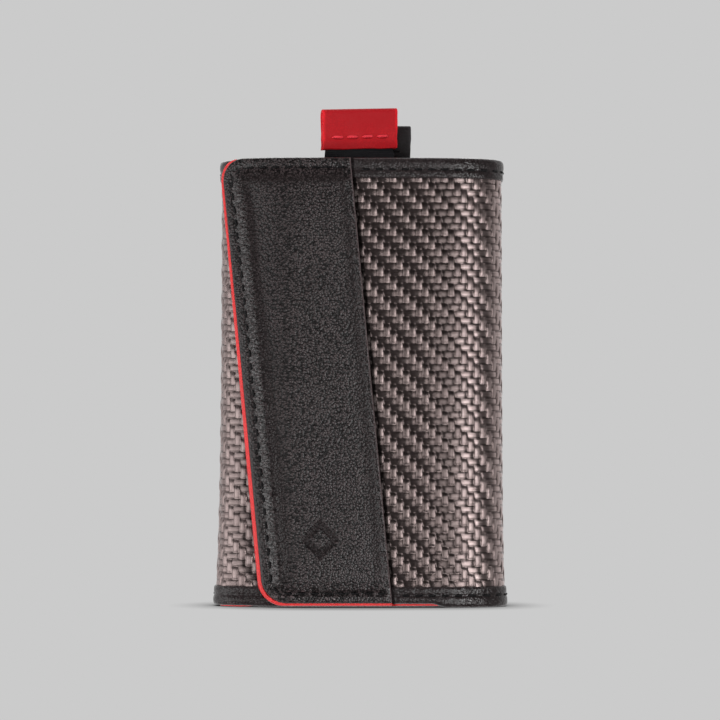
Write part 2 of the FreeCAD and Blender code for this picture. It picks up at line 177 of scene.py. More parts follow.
def outline(s):
    """Place and outward normal on the wrap's outer face. s runs from the middle of the back, positive round
    the right side to the outer flap's end and negative round the left side to the inner flap's end."""
    s = np.asarray(s, float)
    x, y, nx, ny = (np.zeros(s.shape) for _ in range(4))
    for branch, sign in ((RIGHT, 1), (LEFT, -1)):
        begin = 0.0
        for part in branch:
            size = part_length(part)
            share = (sign * s - begin) / size
            here = (share >= 0) if part is branch[-1] else (share >= 0) & (share <= 1)
            begin += size
            if part[0] == "line":
                (x0, y0), (x1, y1) = part[1], part[2]
                x[here] = x0 + share[here] * (x1 - x0)
                y[here] = y0 + share[here] * (y1 - y0)
                nx[here] = -sign * (y1 - y0) / size
                ny[here] = sign * (x1 - x0) / size
            else:
                angle = np.radians(part[3] + share[here] * (part[4] - part[3]))
                nx[here], ny[here] = np.cos(angle), np.sin(angle)
                x[here] = part[1][0] + part[2] * nx[here]
                y[here] = part[1][1] + part[2] * ny[here]
    return x, y, nx, ny


def left_spread(z):
    return 1.5 * np.exp(-z / 24) - 0.35


def settle(x, y, z):
    """The soft look of the real thing: the faces ease into the sides, and the foot spreads a little."""
    away = np.abs(x)
    rise, past = np.clip(away, EASE_FROM, CX) - EASE_FROM, np.clip(away - CX, 0, EASE_END)
    ease = EASE_SLOPE * (rise * rise / (2 * (CX - EASE_FROM)) + past - past * past / (2 * EASE_END))
    foot = np.where(x > 0, 0.7 * np.exp(-z / 14), left_spread(z))
    spread = foot * smooth(away, 22, 34)
    return np.stack([x + np.sign(x) * spread, y * (1 - ease), z], -1)


def place(s, z, depth):
    s, z, depth = np.broadcast_arrays(s, z, depth)
    x, y, nx, ny = outline(s)
    return settle(x - depth * nx, y - depth * ny, z)


QUARTER = part_length(RIGHT[1])
RIGHT_MID = CX + QUARTER + (BACK_CY - FRONT_CY) / 2
LEFT_MID = -(CX + QUARTER + (BACK_CY - INNER_CY) / 2)
FRONT_S = CX + 2 * QUARTER + (BACK_CY - FRONT_CY) + CX      # x = 0 on the front
INNER_S = -(CX + 2 * QUARTER + (BACK_CY - INNER_CY) + CX)   # x = 0 on the inner flap


def slanted(top_x, z):
    return top_x + TAPER * (HEIGHT - z) / HEIGHT


def seam_x(z):
    """The leather panel's straight edge on the front."""
    return slanted(SEAM_TOP_X + SEAM_SHIFT, z) + SEAM_LEAN * (HEIGHT - z) / HEIGHT


def free_edge(z, inset=0.0):
    """The outer flap's free edge, so that it stands straight once the cloth has settled."""
    x = slanted(TIP_TOP_X + EDGE_SHIFT, z) + EDGE_LEAN * (HEIGHT - z) / HEIGHT + inset
    return front_p(x + left_spread(z) * smooth(-x, 22, 34))


def front_p(x):
    """Distance across the unrolled front, the same as x except where the flap's end curls round the side."""
    past = np.clip(-CX - x, 0, TIP_R * 0.99)
    return np.where(x < -CX, -CX - TIP_R * np.arcsin(past / TIP_R), x)


# ---- meshes ----
def make_mesh(name, points, faces, material, sharp_deg=50.0):
    """A named object from points in millimetres."""
    mesh = bpy.data.meshes.new(name)
    mesh.from_pydata((np.asarray(points).reshape(-1, 3) * MM).tolist(), [], faces)
    work = bmesh.new()
    work.from_mesh(mesh)
    bmesh.ops.recalc_face_normals(work, faces=work.faces)
    work.to_mesh(mesh)
    work.free()
    mesh.materials.append(material)
    mesh.shade_smooth()
    mesh.set_sharp_from_angle(angle=math.radians(sharp_deg))
    obj = bpy.data.objects.new(name, mesh)
    bpy.context.scene.collection.objects.link(obj)
    return obj


def grid_quads(rows, cols, first=0):
    row, col = np.meshgrid(np.arange(rows - 1), np.arange(cols - 1), indexing="ij")
    a = (row * cols + col).ravel() + first
    return np.stack([a, a + 1, a + cols + 1, a + cols], 1).tolist()


def border(rows, cols, first=0):
    """Indices round a grid's edge, ending where they begin."""
    index = np.arange(rows * cols).reshape(rows, cols) + first
    loop = [*index[0], *index[1:, -1], *index[-1, -2::-1], *index[-2::-1, 0]]
    return [int(i) for i in loop]


def shell(name, outer, inner, material, step=1, sharp_deg=50.0):
    """A closed sheet from its outer grid and its inner grid, which may be coarser by a whole step."""
    rows, cols = outer.shape[:2]
    inner = inner[::step, ::step]
    low_rows, low_cols = inner.shape[:2]
    count = rows * cols
    faces = grid_quads(rows, cols) + grid_quads(low_rows, low_cols, count)
    fine, coarse = border(rows, cols), border(low_rows, low_cols, count)
    for number in range(len(coarse) - 1):
        run = fine[number * step:(number + 1) * step + 1]
        faces.append(run + [coarse[number + 1], coarse[number]])
    points = np.concatenate([outer.reshape(-1, 3), inner.reshape(-1, 3)])
    return make_mesh(name, points, faces, material, sharp_deg)


def sweep_data(origins, across, up, profiles):
    """Points and faces of a tube: each profile's (a, b) points are laid along across and up at its origin."""
    origins, across, up = (np.asarray(v, float) for v in (origins, across, up))
    profiles = np.broadcast_to(profiles, (len(origins),) + np.shape(profiles)[-2:])
    points = (origins[:, None] + profiles[..., :1] * across[:, None] + profiles[..., 1:] * up[:, None])
    rings, sides = points.shape[:2]
    faces = []
    for ring in range(rings - 1):
        for side in range(sides):
            after = (side + 1) % sides
            faces.append([ring * sides + side, ring * sides + after,
                          (ring + 1) * sides + after, (ring + 1) * sides + side])
    faces.append(list(range(sides)))
    faces.append(list(range((rings - 1) * sides, rings * sides)))
    return points.reshape(-1, 3), faces


def join_data(parts):
    points, faces, count = [], [], 0
    for part_points, part_faces in parts:
        points.append(part_points)
        faces += [[i + count for i in face] for face in part_faces]
        count += len(part_points)
    return np.concatenate(points), faces


def steps(low, high, pitch):
    return np.linspace(low, high, max(2, int(round(abs(high - low) / pitch)) + 1))


def odd(lines):
    """The same lines, one fewer if their number is even, so that every second one can be left out."""
    return lines if len(lines) % 2 else np.delete(lines, len(lines) // 2, 0)


def eased(low, high, pitch, radius):
    """Steps with extra ones close to both ends, where an edge is rounded."""
    ends = radius * np.array([0.0, 0.08, 0.3, 0.6])
    return np.concatenate([low + ends, steps(low + radius, high - radius, pitch), high - ends[::-1]])


def rounding(distance, radius):
    """Share of the full thickness at a distance from a rounded edge."""
    near = np.clip(1 - distance / radius, 0, 1)
    return np.sqrt(np.clip(1 - near * near, 0, 1))


# ---- materials ----
class Look:
    """A node material with the usual parts close at hand."""

    def __init__(self, name):
        self.material = bpy.data.materials.new(name)
        self.material.use_nodes = True
        self.tree = self.material.node_tree
        self.shader = self.tree.nodes["Principled BSDF"]

    def node(self, kind, inputs=(), **settings):
        made = self.tree.nodes.new(kind)
        for key, value in settings.items():
            setattr(made, key, value)
        for key, value in dict(inputs).items():
            self.feed(made.inputs[key], value)
        return made

    def feed(self, socket, value):
        if isinstance(value, bpy.types.NodeSocket):
            self.tree.links.new(value, socket)
        else:
            socket.default_value = value

    def set(self, **inputs):
        for key, value in inputs.items():
            self.feed(self.shader.inputs[key.replace("_", " ")], value)

    def space(self, stretch=(1, 1, 1)):
        """Coordinates in millimetres, stretched."""
        where = self.node("ShaderNodeTexCoord").outputs["Object"]
        scale = tuple(1000 * v for v in stretch)
        return self.node("ShaderNodeMapping", {"Vector": where, "Scale": scale}).outputs[0]

    def noise(self, size, detail=2.0, stretch=(1, 1, 1), where=None):
        inputs = {"Vector": where or self.space(stretch), "Scale": 1 / size, "Detail": detail}
        return self.node("ShaderNodeTexNoise", inputs).outputs["Fac"]

    def cells(self, size, smoothness=0.3):
        inputs = {"Vector": self.space(), "Scale": 1 / size, "Smoothness": smoothness}
        return self.node("ShaderNodeTexVoronoi", inputs, feature="SMOOTH_F1").outputs["Distance"]

    def math(self, operation, a, b=0.0):
        return self.node("ShaderNodeMath", {0: a, 1: b}, operation=operation).outputs[0]

    def span(self, value, low, high, from_low=0.3, from_high=0.7):
        inputs = {"Value": value, "From Min": from_low, "From Max": from_high, "To Min": low, "To Max": high}
        return self.node("ShaderNodeMapRange", inputs).outputs[0]

    def mix(self, share, a, b):
        made = self.node("ShaderNodeMix", {"Factor": share}, data_type="RGBA")
        self.feed(made.inputs[6], (*a, 1) if isinstance(a, tuple) else a)
        self.feed(made.inputs[7], (*b, 1) if isinstance(b, tuple) else b)
        return made.outputs[2]

    def relief(self, height, distance_mm, strength=1.0, under=None):
        inputs = {"Height": height, "Distance": distance_mm * MM, "Strength": strength}
        made = self.node("ShaderNodeBump", inputs)
        if under is not None:
            self.feed(made.inputs["Normal"], under)
        return made.outputs[0]

    def edges(self, low=0.52, high=0.62):
        """1 on worn, convex edges."""
        pointed = self.node("ShaderNodeNewGeometry").outputs["Pointiness"]
        return self.span(pointed, 0, 1, low, high)


def shade(colour, factor):
    return tuple(min(1.0, c * factor) for c in colour)


def leather(name, colour, grain=0.6, depth=0.1, rough=(0.29, 0.38), wear=2.0, crease=0.008, shine=0.5,
            pit=0.5, edge_highlight=2.0):
    """Fine pebbled leather. It is smoother and shinier where it is pulled tight over the padding. Painted shade
    darkens its colour, and its gloss drops, where dull_painted_shade is set, such as in the band behind that. Crevices
    get painted shade and cut edges a painted highlight."""
    look = Look(name)
    taut, dull_painted_shade = (look.node("ShaderNodeAttribute", attribute_name=name).outputs["Fac"] for name in ("taut", "dull_painted_shade"))
    pebbles = look.cells(grain)
    slow = look.noise(9.0)
    tone = look.mix(look.span(slow, 0, 1), shade(colour, 0.85), shade(colour, 1.2))
    pits = look.mix(look.span(pebbles, 0, 1, 0.25, 0.6), tone, shade(colour, pit))
    # Painted shade: the colour darkens in crevices, measured by ambient occlusion over 0.4 mm.
    painted_crevice_shade = look.node("ShaderNodeAmbientOcclusion", {"Distance": 0.4 * MM}, samples=6).outputs["AO"]
    worn = look.mix(look.edges(), pits, shade(colour, wear))
    colour_with_painted_light = look.mix(look.span(painted_crevice_shade, 0, 1, 0.25, 0.7), shade(colour, 0.25), worn)
    # Painted highlight: the colour lightens by edge_highlight along edges where the cut attribute is set.
    cut = look.node("ShaderNodeAttribute", attribute_name="cut").outputs["Fac"]
    colour_with_painted_light = look.mix(cut, colour_with_painted_light, shade(colour, edge_highlight))
    # Painted shade: the colour darkens to 0.3 of itself where dull_painted_shade is set; below, the gloss drops too.
    look.set(Base_Color=look.mix(dull_painted_shade, colour_with_painted_light, shade(colour, 0.3)))
    matt = look.span(look.noise(0.9, 3.0), *rough)
    look.set(Roughness=look.math("MULTIPLY", matt, look.span(taut, 1, 0.72, 0, 1)))
    glint = look.span(look.noise(0.5, 1.0, (0.6, 1, 1.3)), 0.65, 1.8, 0.47, 0.6)
    gloss = look.math("MULTIPLY", look.span(taut, 1.0, glint, 0.3, 0.8), look.span(dull_painted_shade, shine, 0.15 * shine, 0, 1))
    look.set(Specular_IOR_Level=gloss)
    creased = look.relief(look.noise(1.6, 3.0, (1, 1, 1.7)), crease * 4)
    creased = look.relief(look.noise(0.6, 2.0, (0.5, 1, 1.5)), 0.16, look.span(taut, 0, 1, 0.5, 1), creased)
    pores = look.math("ADD", look.math("MULTIPLY", pebbles, -1.0), look.math("MULTIPLY", look.noise(0.4), 0.25))
    look.set(Normal=look.relief(pores, depth, look.span(taut, 1.0, 0.6, 0, 1), creased))
    return look.material


def painted_float_highlight(look, where, upright, turn):
    """Where each float gets a painted highlight in its colour: an upright one below its middle and down its right
    side, a lying one towards its right end, and all of it where the cloth turns away."""
    split = look.node("ShaderNodeSeparateXYZ", {0: where}).outputs
    column, row = look.math("DIVIDE", split[0], TOW_X), look.math("DIVIDE", split[1], TOW_Z)
    climb = look.math("FLOORED_MODULO", look.math("SUBTRACT", row, look.math("FLOOR", column)), 4.0)
    level = look.math("FLOORED_MODULO", look.math("SUBTRACT", column, look.math("FLOOR", row)), 4.0)
    share, height = look.math("FRACT", column), look.math("FRACT", row)
    across = look.node("ShaderNodeMix", {0: upright, 2: height, 3: share}, data_type="FLOAT").outputs[0]
    inside = look.math("SUBTRACT", 0.5, look.math("ABSOLUTE", look.math("SUBTRACT", across, 0.5)))
    beside = look.math("MULTIPLY", look.span(share, 0.64, 0.26, 0.13, 0.32), look.span(climb, 1, 0.38, 1.25, 1.85))
    standing = look.math("MAXIMUM", beside, look.span(climb, 0.51, 0.22, 0.1, 0.3))
    lying = look.span(level, 0.1, 0.31, 1.0, 2.0)
    shine = look.node("ShaderNodeMix", {0: upright, 2: lying, 3: standing}, data_type="FLOAT").outputs[0]
    turned = look.math("MULTIPLY", turn, look.span(inside, 0.0, 0.86, 0.06, 0.24))
    return look.math("MAXIMUM", shine, turned)


def woven():
    """Flat glossy tows. Each float is a fan of fine fibres, so its shine is drawn out across the fibres."""
    look = Look("woven_carbon")
    upright, tint, level, turn = (look.node("ShaderNodeAttribute", attribute_name=name).outputs["Fac"]
                                  for name in ("tow_upright", "tow_tint", "tow_painted_lit", "tow_turn_highlight"))
    across = look.node("ShaderNodeUVMap", uv_map="wrap").outputs[0]
    fibres_up = look.noise(0.13, 2.0, where=look.node("ShaderNodeMapping", {
        "Vector": across, "Scale": (1, 0.03, 1)}).outputs[0])
    fibres_along = look.noise(0.13, 2.0, where=look.node("ShaderNodeMapping", {
        "Vector": across, "Scale": (0.03, 1, 1)}).outputs[0])
    fibres = look.node("ShaderNodeMix", {0: upright, 2: fibres_along, 3: fibres_up}, data_type="FLOAT").outputs[0]
    bright = look.mix(look.span(tint, 0, 1, 0.0, 1.0), (0.43, 0.34, 0.328), (0.55, 0.443, 0.427))
    streaked = look.mix(look.span(fibres, 0, 1), (0.30, 0.228, 0.22), bright)
    # Painted highlight: floats are near black except where painted_float_highlight lights them.
    streaked = look.mix(painted_float_highlight(look, across, upright, turn), (0.042, 0.031, 0.029), streaked)
    # Painted shade: the colour darkens where tow_painted_lit is low.
    look.set(Base_Color=look.mix(look.span(level, 0, 1, 0.0, 0.7), (0.02, 0.015, 0.014), streaked))
    look.set(Metallic=0.95, Specular_IOR_Level=0.5, Anisotropic=0.8, Coat_Weight=0.1, Coat_Roughness=0.25)
    look.set(Roughness=look.span(fibres, 0.27, 0.36))
    look.set(Normal=look.relief(fibres, 0.03, 0.5))
    normal = look.node("ShaderNodeNewGeometry").outputs["Normal"]
    sideways = look.node("ShaderNodeVectorMath", {0: (0, 0, 1), 1: normal}, operation="CROSS_PRODUCT").outputs[0]
    tangent = look.node("ShaderNodeMix", {0: upright, 4: (0, 0, 1), 5: sideways}, data_type="VECTOR").outputs[1]
    look.set(Tangent=tangent)
    return look.material


def thread(name, colour, rough):
    look = Look(name)
    plies = look.node("ShaderNodeTexWave", {
        "Vector": look.space((1, 0.6, 1)), "Scale": 1.4, "Distortion": 1.5, "Detail": 1.0},
        bands_direction="DIAGONAL").outputs["Fac"]
    look.set(Base_Color=look.mix(plies, shade(colour, 0.5), shade(colour, 1.2)))
    look.set(Roughness=look.span(look.noise(0.2), *rough), Normal=look.relief(plies, 0.05))
    look.set(Specular_IOR_Level=0.3)
    return look.material


def ribbon():
    look = Look("strap_ribbon")
    yarn = look.noise(0.16, 2.0, (1, 1, 0.25))
    slow = look.noise(6.0)
    tone = look.mix(look.span(slow, 0, 1), (0.004, 0.004, 0.0045), (0.009, 0.009, 0.01))
    look.set(Base_Color=look.mix(look.span(yarn, 0, 1), (0.004, 0.004, 0.005), tone))
    look.set(Roughness=look.span(yarn, 0.55, 0.8), Normal=look.relief(yarn, 0.05))
    look.set(Specular_IOR_Level=0.2)
    return look.material


def shield_cloth():
    look = Look("shield_cloth")
    fine = look.noise(0.35, 3.0)
    look.set(Base_Color=look.mix(look.span(fine, 0, 1), (0.30, 0.30, 0.31), (0.52, 0.52, 0.53)))
    look.set(Metallic=0.6, Roughness=look.span(fine, 0.35, 0.6), Normal=look.relief(fine, 0.06))
    return look.material


BLACK = leather("black_leather", (0.0385, 0.0275, 0.028), grain=0.5, pit=0.1, edge_highlight=3.2)
BOUND = leather("binding_leather", (0.021, 0.0145, 0.015), grain=0.52, depth=0.1, crease=0.03)
RED = leather("red_leather", (0.70, 0.026, 0.027), grain=0.5, depth=0.036, rough=(0.34, 0.46), wear=1.2, pit=0.88)
RED_GRIP = leather("red_grip_leather", (0.42, 0.006, 0.011), grain=0.4, depth=0.015, rough=(0.5, 0.65),
                   wear=1.4, crease=0.006, shine=0.2, pit=0.85, edge_highlight=1.6)
BLACK_GRIP = leather("black_grip_leather", (0.006, 0.005, 0.0055), grain=0.45, depth=0.05, rough=(0.6, 0.75))
WOVEN = woven()
BLACK_THREAD = thread("black_thread", (0.002, 0.0015, 0.002), (0.45, 0.6))
RED_THREAD = thread("red_thread", (0.9, 0.04, 0.06), (0.35, 0.55))
RIBBON = ribbon()
SHIELD = shield_cloth()

# ---- the four stretches of the wrap, each listed with the two bodies it joins ----
STRETCHES = {
    "back_right": dict(bodies=("pocket_block", "right_spine"), start=(CX, BACK_Y), end=(HALF, BACK_CY)),
    "front": dict(bodies=("right_spine", "flap"), start=(HALF, FRONT_CY), end=(CX, FRONT_Y)),
    "back_left": dict(bodies=("pocket_block", "left_spine"), start=(-CX, BACK_Y), end=(-HALF, BACK_CY)),
    "inner": dict(bodies=("left_spine", "inner_flap"), start=(-HALF, INNER_CY), end=(-CX, INNER_Y)),
}


def bend(obj, stretch, slot, *nodes):
    fold = STRETCHES[stretch]
    middle = HEIGHT * MM / 2
    ends = [(x * MM, y * MM, middle) for x, y in (fold["start"], fold["end"])]
    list(fold["bodies"])
    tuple(ends[0])
    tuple(ends[1])
    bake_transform(obj)
    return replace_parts(obj, *nodes)


def fix(obj, body, slot, *nodes):
    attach(obj, body)
    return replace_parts(obj, *nodes)


# ---- woven cloth ----
def tow_lines(low, high, pitch):
    """Grid lines that fall on the tows' edges, between two limits."""
    tows = np.arange(math.floor(low / pitch), math.ceil(high / pitch) + 1)
    lines = ((tows[:, None] + TOW_STEPS) * pitch).ravel()
    inside = lines[(lines > low + 0.1) & (lines < high - 0.1)]
    return np.concatenate([[low], inside, [high]])


def hashed(a, b):
    """A steady random value in 0..1 for each pair of whole numbers."""
    mixed = np.sin(a * 127.1 + b * 311.7) * 43758.5453
    return mixed - np.floor(mixed)


def twill(s, z):
    """Height of the 2/2 twill above its middle plane, 1 where an upright tow is on top, and a tint."""
    column, row = np.floor(s / TOW_X), np.floor(z / TOW_Z)
    u, v = s / TOW_X - column, z / TOW_Z - row
    climb = np.mod(z / TOW_Z - column, 4)
    level = np.mod(s / TOW_X - row, 4)
    up_id = hashed(column, np.floor((z / TOW_Z - column) / 4))
    flat_id = hashed(np.floor((s / TOW_X - row - 1) / 4), row + 0.37)

    def wave(phase, size):
        c = np.cos(phase * math.pi / 2)
        return size * c * (1.5 - 0.5 * c * c)

    def crown(share):
        return TOW_CROWN * (1 - (2 * share - 1) ** 2)
    upright = wave(climb - 1, UPRIGHT_WAVE) * (0.93 + 0.14 * up_id) + crown(u)
    flat = wave(level - 2, LEVEL_WAVE) * (0.93 + 0.14 * flat_id) + crown(v)
    on_top = upright > flat
    return np.maximum(upright, flat), on_top, np.where(on_top, up_id, flat_id)


def weld(mesh):
    """Joins the points that lie on each other along a slanting cut."""
    joined = bmesh.new()
    joined.from_mesh(mesh)
    bmesh.ops.remove_doubles(joined, verts=joined.verts, dist=0.002 * MM)
    bmesh.ops.recalc_face_normals(joined, faces=joined.faces)
    joined.to_mesh(mesh)
    joined.free()


def weave_sheet(stretch, s_low, s_high, *nodes):
    s_lines = tow_lines(s_low, s_high, TOW_X)
    z_lines = tow_lines(1.4, HEIGHT - 0.6, TOW_Z)
    step = len(TOW_STEPS)
    s_lines = s_lines[:len(s_lines) - (len(s_lines) - 1) % step]
    s_lines[-1] = s_high
    z_lines = z_lines[:len(z_lines) - (len(z_lines) - 1) % step]
    z_lines[-1] = HEIGHT - 0.6
    s, z = np.meshgrid(s_lines, z_lines)
    if stretch == "inner":
        s = np.maximum(s, INNER_S - slanted(INNER_TIP_TOP_X, z) + INNER_EDGE_SHOWING)
    height, standing, _ = twill(s, z)
    covered = np.minimum(z, HEIGHT - z) < BINDING_H - 0.3
    depth = 0.16 - np.where(covered, 0.1, height)
    outer = place(s, z, depth)
    inner = place(s, z, np.full(s.shape, WEAVE_T - 0.02))
    obj = shell("weave_" + stretch, outer, inner, WOVEN, step, sharp_deg=75)
    mesh = obj.data
    middle_s, middle_z = ((g[1:, 1:] + g[:-1, :-1]) / 2 for g in (s, z))
    _, on_top, tint = twill(middle_s, middle_z)
    for label, values in (("tow_upright", on_top), ("tow_tint", tint)):
        data = np.zeros(len(mesh.polygons), np.float32)
        data[:values.size] = values.ravel()
        mesh.attributes.new(label, "FLOAT", "FACE").data.foreach_set("value", data)
    # Painted shade: a low tow_painted_lit darkens the colour in the valleys between floats, in a line along the
    # leather panel's seam, and on lying floats near x = 20 mm on the front.
    level = np.clip((height + 0.03) / 0.1, 0, 1)
    if stretch == "front":
        beside = seam_x(z) - (FRONT_S - s)
        level = level * smooth(-beside, 0.6, 0.95)
    x, y, _, _ = outline(s)
    level = level * (1 - 0.62 * bump(x, 20.3, 3.2) * (y < 0) * (1 - standing))
    # Painted highlight: tow_turn_highlight lightens the floats where the cloth turns round the sides.
    turn = np.where(y < 0, smooth(np.abs(x), 20.5, 26), smooth(np.abs(x), 26, 33))
    turn = turn * np.where((x < 0) & (y < 0), 0.75, 1)
    point_values(obj, "tow_painted_lit", level)
    point_values(obj, "tow_turn_highlight", turn)
    flat_uv = np.zeros((len(mesh.vertices), 2), np.float32)
    flat_uv[:s.size] = np.stack([s.ravel(), z.ravel()], 1)
    corner = np.zeros(len(mesh.loops), np.int32)
    mesh.loops.foreach_get("vertex_index", corner)
    layer = mesh.uv_layers.new(name="wrap")
    layer.data.foreach_set("uv", flat_uv[corner].ravel())
    if stretch == "inner":
        weld(mesh)
    return bend(obj, stretch, "woven_carbon", *nodes)


def point_values(obj, label, values):
    """Stores a value for each point, from the first point on; the rest stay at 0."""
    data = np.zeros(len(obj.data.vertices), np.float32)
    data[:values.size] = values.ravel()
    obj.data.attributes.new(label, "FLOAT", "POINT").data.foreach_set("value", data)


# ---- bindings over the cloth's top and bottom edges ----
BINDING_PROFILE = np.array([
    (0.08, 4.84), (-0.14, 4.95), (-0.34, 4.9), (-0.47, 4.7), (-0.52, 4.35), (-0.53, 3.95), (-0.5, 3.55),
    (-0.44, 3.25), (-0.37, 3.05), (-0.35, 2.9), (-0.37, 2.75), (-0.45, 2.55), (-0.55, 2.25), (-0.6, 1.8),
    (-0.6, 1.3), (-0.55, 0.85), (-0.42, 0.45), (-0.2, 0.18), (0.1, 0.06), (0.5, 0.1), (0.68, 0.24),
    (0.66, 0.42), (0.3, 0.5), (0.08, 0.6)])


def foot_lift(s):
    """The wrap's lower edge lifts off the table towards the ends of both flaps."""
    return np.where(s > 0, smooth(s, RIGHT_MID + 20, RIGHT_MID + 24), smooth(s, LEFT_MID - 20, LEFT_MID - 10))


def binding(stretch, end, s_low, s_high, seed, *nodes, lift=0.0):
    """A leather strip folded over the cloth's edge and sewn through. lift raises its foot off the table."""
    count = len(steps(s_low, s_high, 0.45))
    along = np.linspace(0, 1, count)[:, None]
    depth = np.broadcast_to(BINDING_PROFILE[:, 0], (count, len(BINDING_PROFILE)))
    s = s_low + along * (s_high - s_low) + 0 * depth
    z = BINDING_PROFILE[:, 1] + lift * foot_lift(s) * (1 - BINDING_PROFILE[:, 1] / 2.9) * (BINDING_PROFILE[:, 1] < 2.9)
    ripple = wander(np.stack([s, z * 1.5], -1), 3.2, seed) * 0.035 + wander(
        np.stack([s * 1.4, z], -1), 1.1, seed + 1) * 0.018
    showing = depth < 0
    depth = depth - np.where(showing, ripple, 0)
    if stretch == "front":
        gap = FRONT_S - s - seam_x(HEIGHT - z if end == "top" else z)
        depth = np.where(showing, depth * (0.4 + 0.6 * smooth(gap, 0.3, 0.8)), depth)
    if end == "top":
        z = HEIGHT - z
    points = place(s, z, depth)
    faces = [[r * points.shape[1] + c, r * points.shape[1] + (c + 1) % points.shape[1],
              (r + 1) * points.shape[1] + (c + 1) % points.shape[1], (r + 1) * points.shape[1] + c]
             for r in range(count - 1) for c in range(points.shape[1])]
    faces.append(list(range(points.shape[1])))
    faces.append(list(range((count - 1) * points.shape[1], count * points.shape[1])))
    obj = make_mesh(f"binding_{end}_{stretch}", points, faces, BOUND, 60)
    if stretch == "front":
        # Painted shadow: the binding is darker and duller in the gap along the leather panel's edge.
        point_values(obj, "dull_painted_shade", 1 - smooth(gap, 0.3, 0.8))
        point_values(obj, "taut", 0.8 * bump(FRONT_S - s, 26, 4))
    return bend(obj, stretch, "black_leather", *nodes)


# ---- thread ----
def stitch_tube(point_at, radius=THREAD_R, length=STITCH_LENGTH, sides=8):
    """One stitch. point_at(along, side, lift) gives a point; the thread dips into its holes at both ends."""
    turns = np.linspace(0, 2 * math.pi, sides, endpoint=False)
    rings = []
    for share in (0.0, 0.06, 0.18, 0.36, 0.5, 0.64, 0.82, 0.94, 1.0):
        arch = 1 - (2 * share - 1) ** 4
        girth = radius * (0.35 + 0.65 * min(1.0, 6 * min(share, 1 - share)))
        rings.append([point_at(share * length, girth * math.cos(t), radius * 1.6 * arch - radius * 0.9
                               + girth * math.sin(t)) for t in turns])
    points = np.array(rings).reshape(-1, 3)
    faces = []
    count = len(rings)
    for ring in range(count - 1):
        for side in range(sides):
            after = (side + 1) % sides
            faces.append([ring * sides + side, ring * sides + after,
                          (ring + 1) * sides + after, (ring + 1) * sides + side])
    faces.append(list(range(sides)))
    faces.append(list(range((count - 1) * sides, count * sides)))
    return points, faces


def binding_stitches(stretch, s_low, s_high, *nodes, low_end=None):
    parts = []
    low_end = s_high if low_end is None else low_end
    for z, last in ((BINDING_STITCH_Z, low_end), (HEIGHT - BINDING_STITCH_Z, s_high)):
        count = int((abs(last - s_low) - 0.4) / STITCH_PITCH)
        sign = math.copysign(1, last - s_low)
        first = s_low + sign * (STITCH_PITCH - STITCH_LENGTH) / 2
        for number in range(count):
            begin = first + sign * number * STITCH_PITCH
            slant = rng.uniform(-0.12, 0.12)

            def point_at(along, side, lift, begin=begin, z=z, slant=slant):
                height = z + side + slant * (along / STITCH_LENGTH - 0.5)
                return place(begin + sign * along, height, -0.3 - lift)
            parts.append(stitch_tube(point_at))
    obj = make_mesh("stitches_" + stretch, *join_data(parts), BLACK_THREAD)
    return bend(obj, stretch, "black_thread", *nodes)


# ---- red lining inside the wrap ----
def lining(stretch, s_grid, z_grid, outer_depth, inner_depth, *nodes):
    shape = s_grid.shape
    outer = place(s_grid, z_grid, np.broadcast_to(outer_depth, shape))
    inner = place(s_grid, z_grid, np.broadcast_to(inner_depth, shape))
    obj = shell("lining_" + stretch, outer, inner, RED)
    return bend(obj, stretch, "red_leather", *nodes)


def side_lining(stretch, s_low, s_high, *nodes):
    s_lines = steps(s_low, s_high, 0.6)
    z_lines = eased(0.1, HEIGHT - LINING_DROP, 2.0, 0.35)
    s, z = np.meshgrid(s_lines, z_lines)
    thick = rounding(np.minimum(z - 0.1, HEIGHT - LINING_DROP - z), 0.35)
    middle = WEAVE_T + 0.4
    return lining(stretch, s, z, middle - 0.38 * thick, middle + 0.38 * thick, *nodes)


def corner_inset(distance, radius):
    """How far a rounded corner's edge stands in, at a distance from the end of its straight side."""
    past = np.clip(radius - distance, 0, radius)
    return radius - np.sqrt(radius * radius - past * past)


def rounded_distance(side, end, radius):
    """Distance from an outline whose corner between two edges is rounded."""
    near = (side < radius) & (end < radius)
    corner = radius - np.hypot(radius - side, radius - end)
    return np.where(near, corner, np.minimum(side, end))


def flap_lining():
    foot = FLAP_FOOT
    z_lines = eased(foot, HEIGHT - 0.05, 1.2, 0.4)
    z_lines = np.unique(np.concatenate([z_lines, steps(foot, foot + 6, 0.3), steps(HEIGHT - 4, HEIGHT - 0.05, 0.3)]))
    shares = np.concatenate([[0, 0.1, 0.25, 0.45, 0.7, 0.95, 1.05, 1.4, 2.0], np.linspace(3.5, 100, 70)])
    left = free_edge(z_lines)
    inset = np.maximum(corner_inset(z_lines - foot, TIP_BOTTOM_R), corner_inset(HEIGHT - z_lines, TIP_TOP_R))
    right_p = FRONT_S - RIGHT_MID
    p = np.empty((len(z_lines), len(shares)))
    for column, share in enumerate(shares):
        if share <= 2.0:
            p[:, column] = left + inset + share
        else:
            p[:, column] = (left + inset + 2.0) + (right_p - left - inset - 2.0) * (share - 2.0) / 98.0
    z = np.broadcast_to(z_lines[:, None], p.shape)
    side = p - left[:, None]
    distance = np.where(z > HEIGHT / 2, rounded_distance(side, HEIGHT - z, TIP_TOP_R),
                        rounded_distance(side, z - foot, TIP_BOTTOM_R))
    distance = np.clip(distance, 0, None)
    bead = 1 - smooth(distance, 0.95, 1.35)
    covered = (p > slanted(SEAM_TOP_X, z)) | (p > 26)
    z = z - LINING_DROP * smooth(side, 5.0, 9.0) * smooth(z, HEIGHT - 8, HEIGHT)
    z = z - (FLAP_FOOT - 0.05) * smooth(p, 22, 29) * smooth(z, 8, foot)
    front = np.where(covered, 1.22 - 0.37 * (z < 3), 1.22 - 1.32 * bead)
    round_edge = rounding(distance, 0.4)
    middle = (front + 1.98) / 2
    half = (1.98 - front) / 2 * (0.25 + 0.75 * round_edge)
    return lining("front", FRONT_S - p, z, middle - half, middle + half, "flap_lining", "right_spine_lining",
                  "flap_stiffener", "flap_magnets")


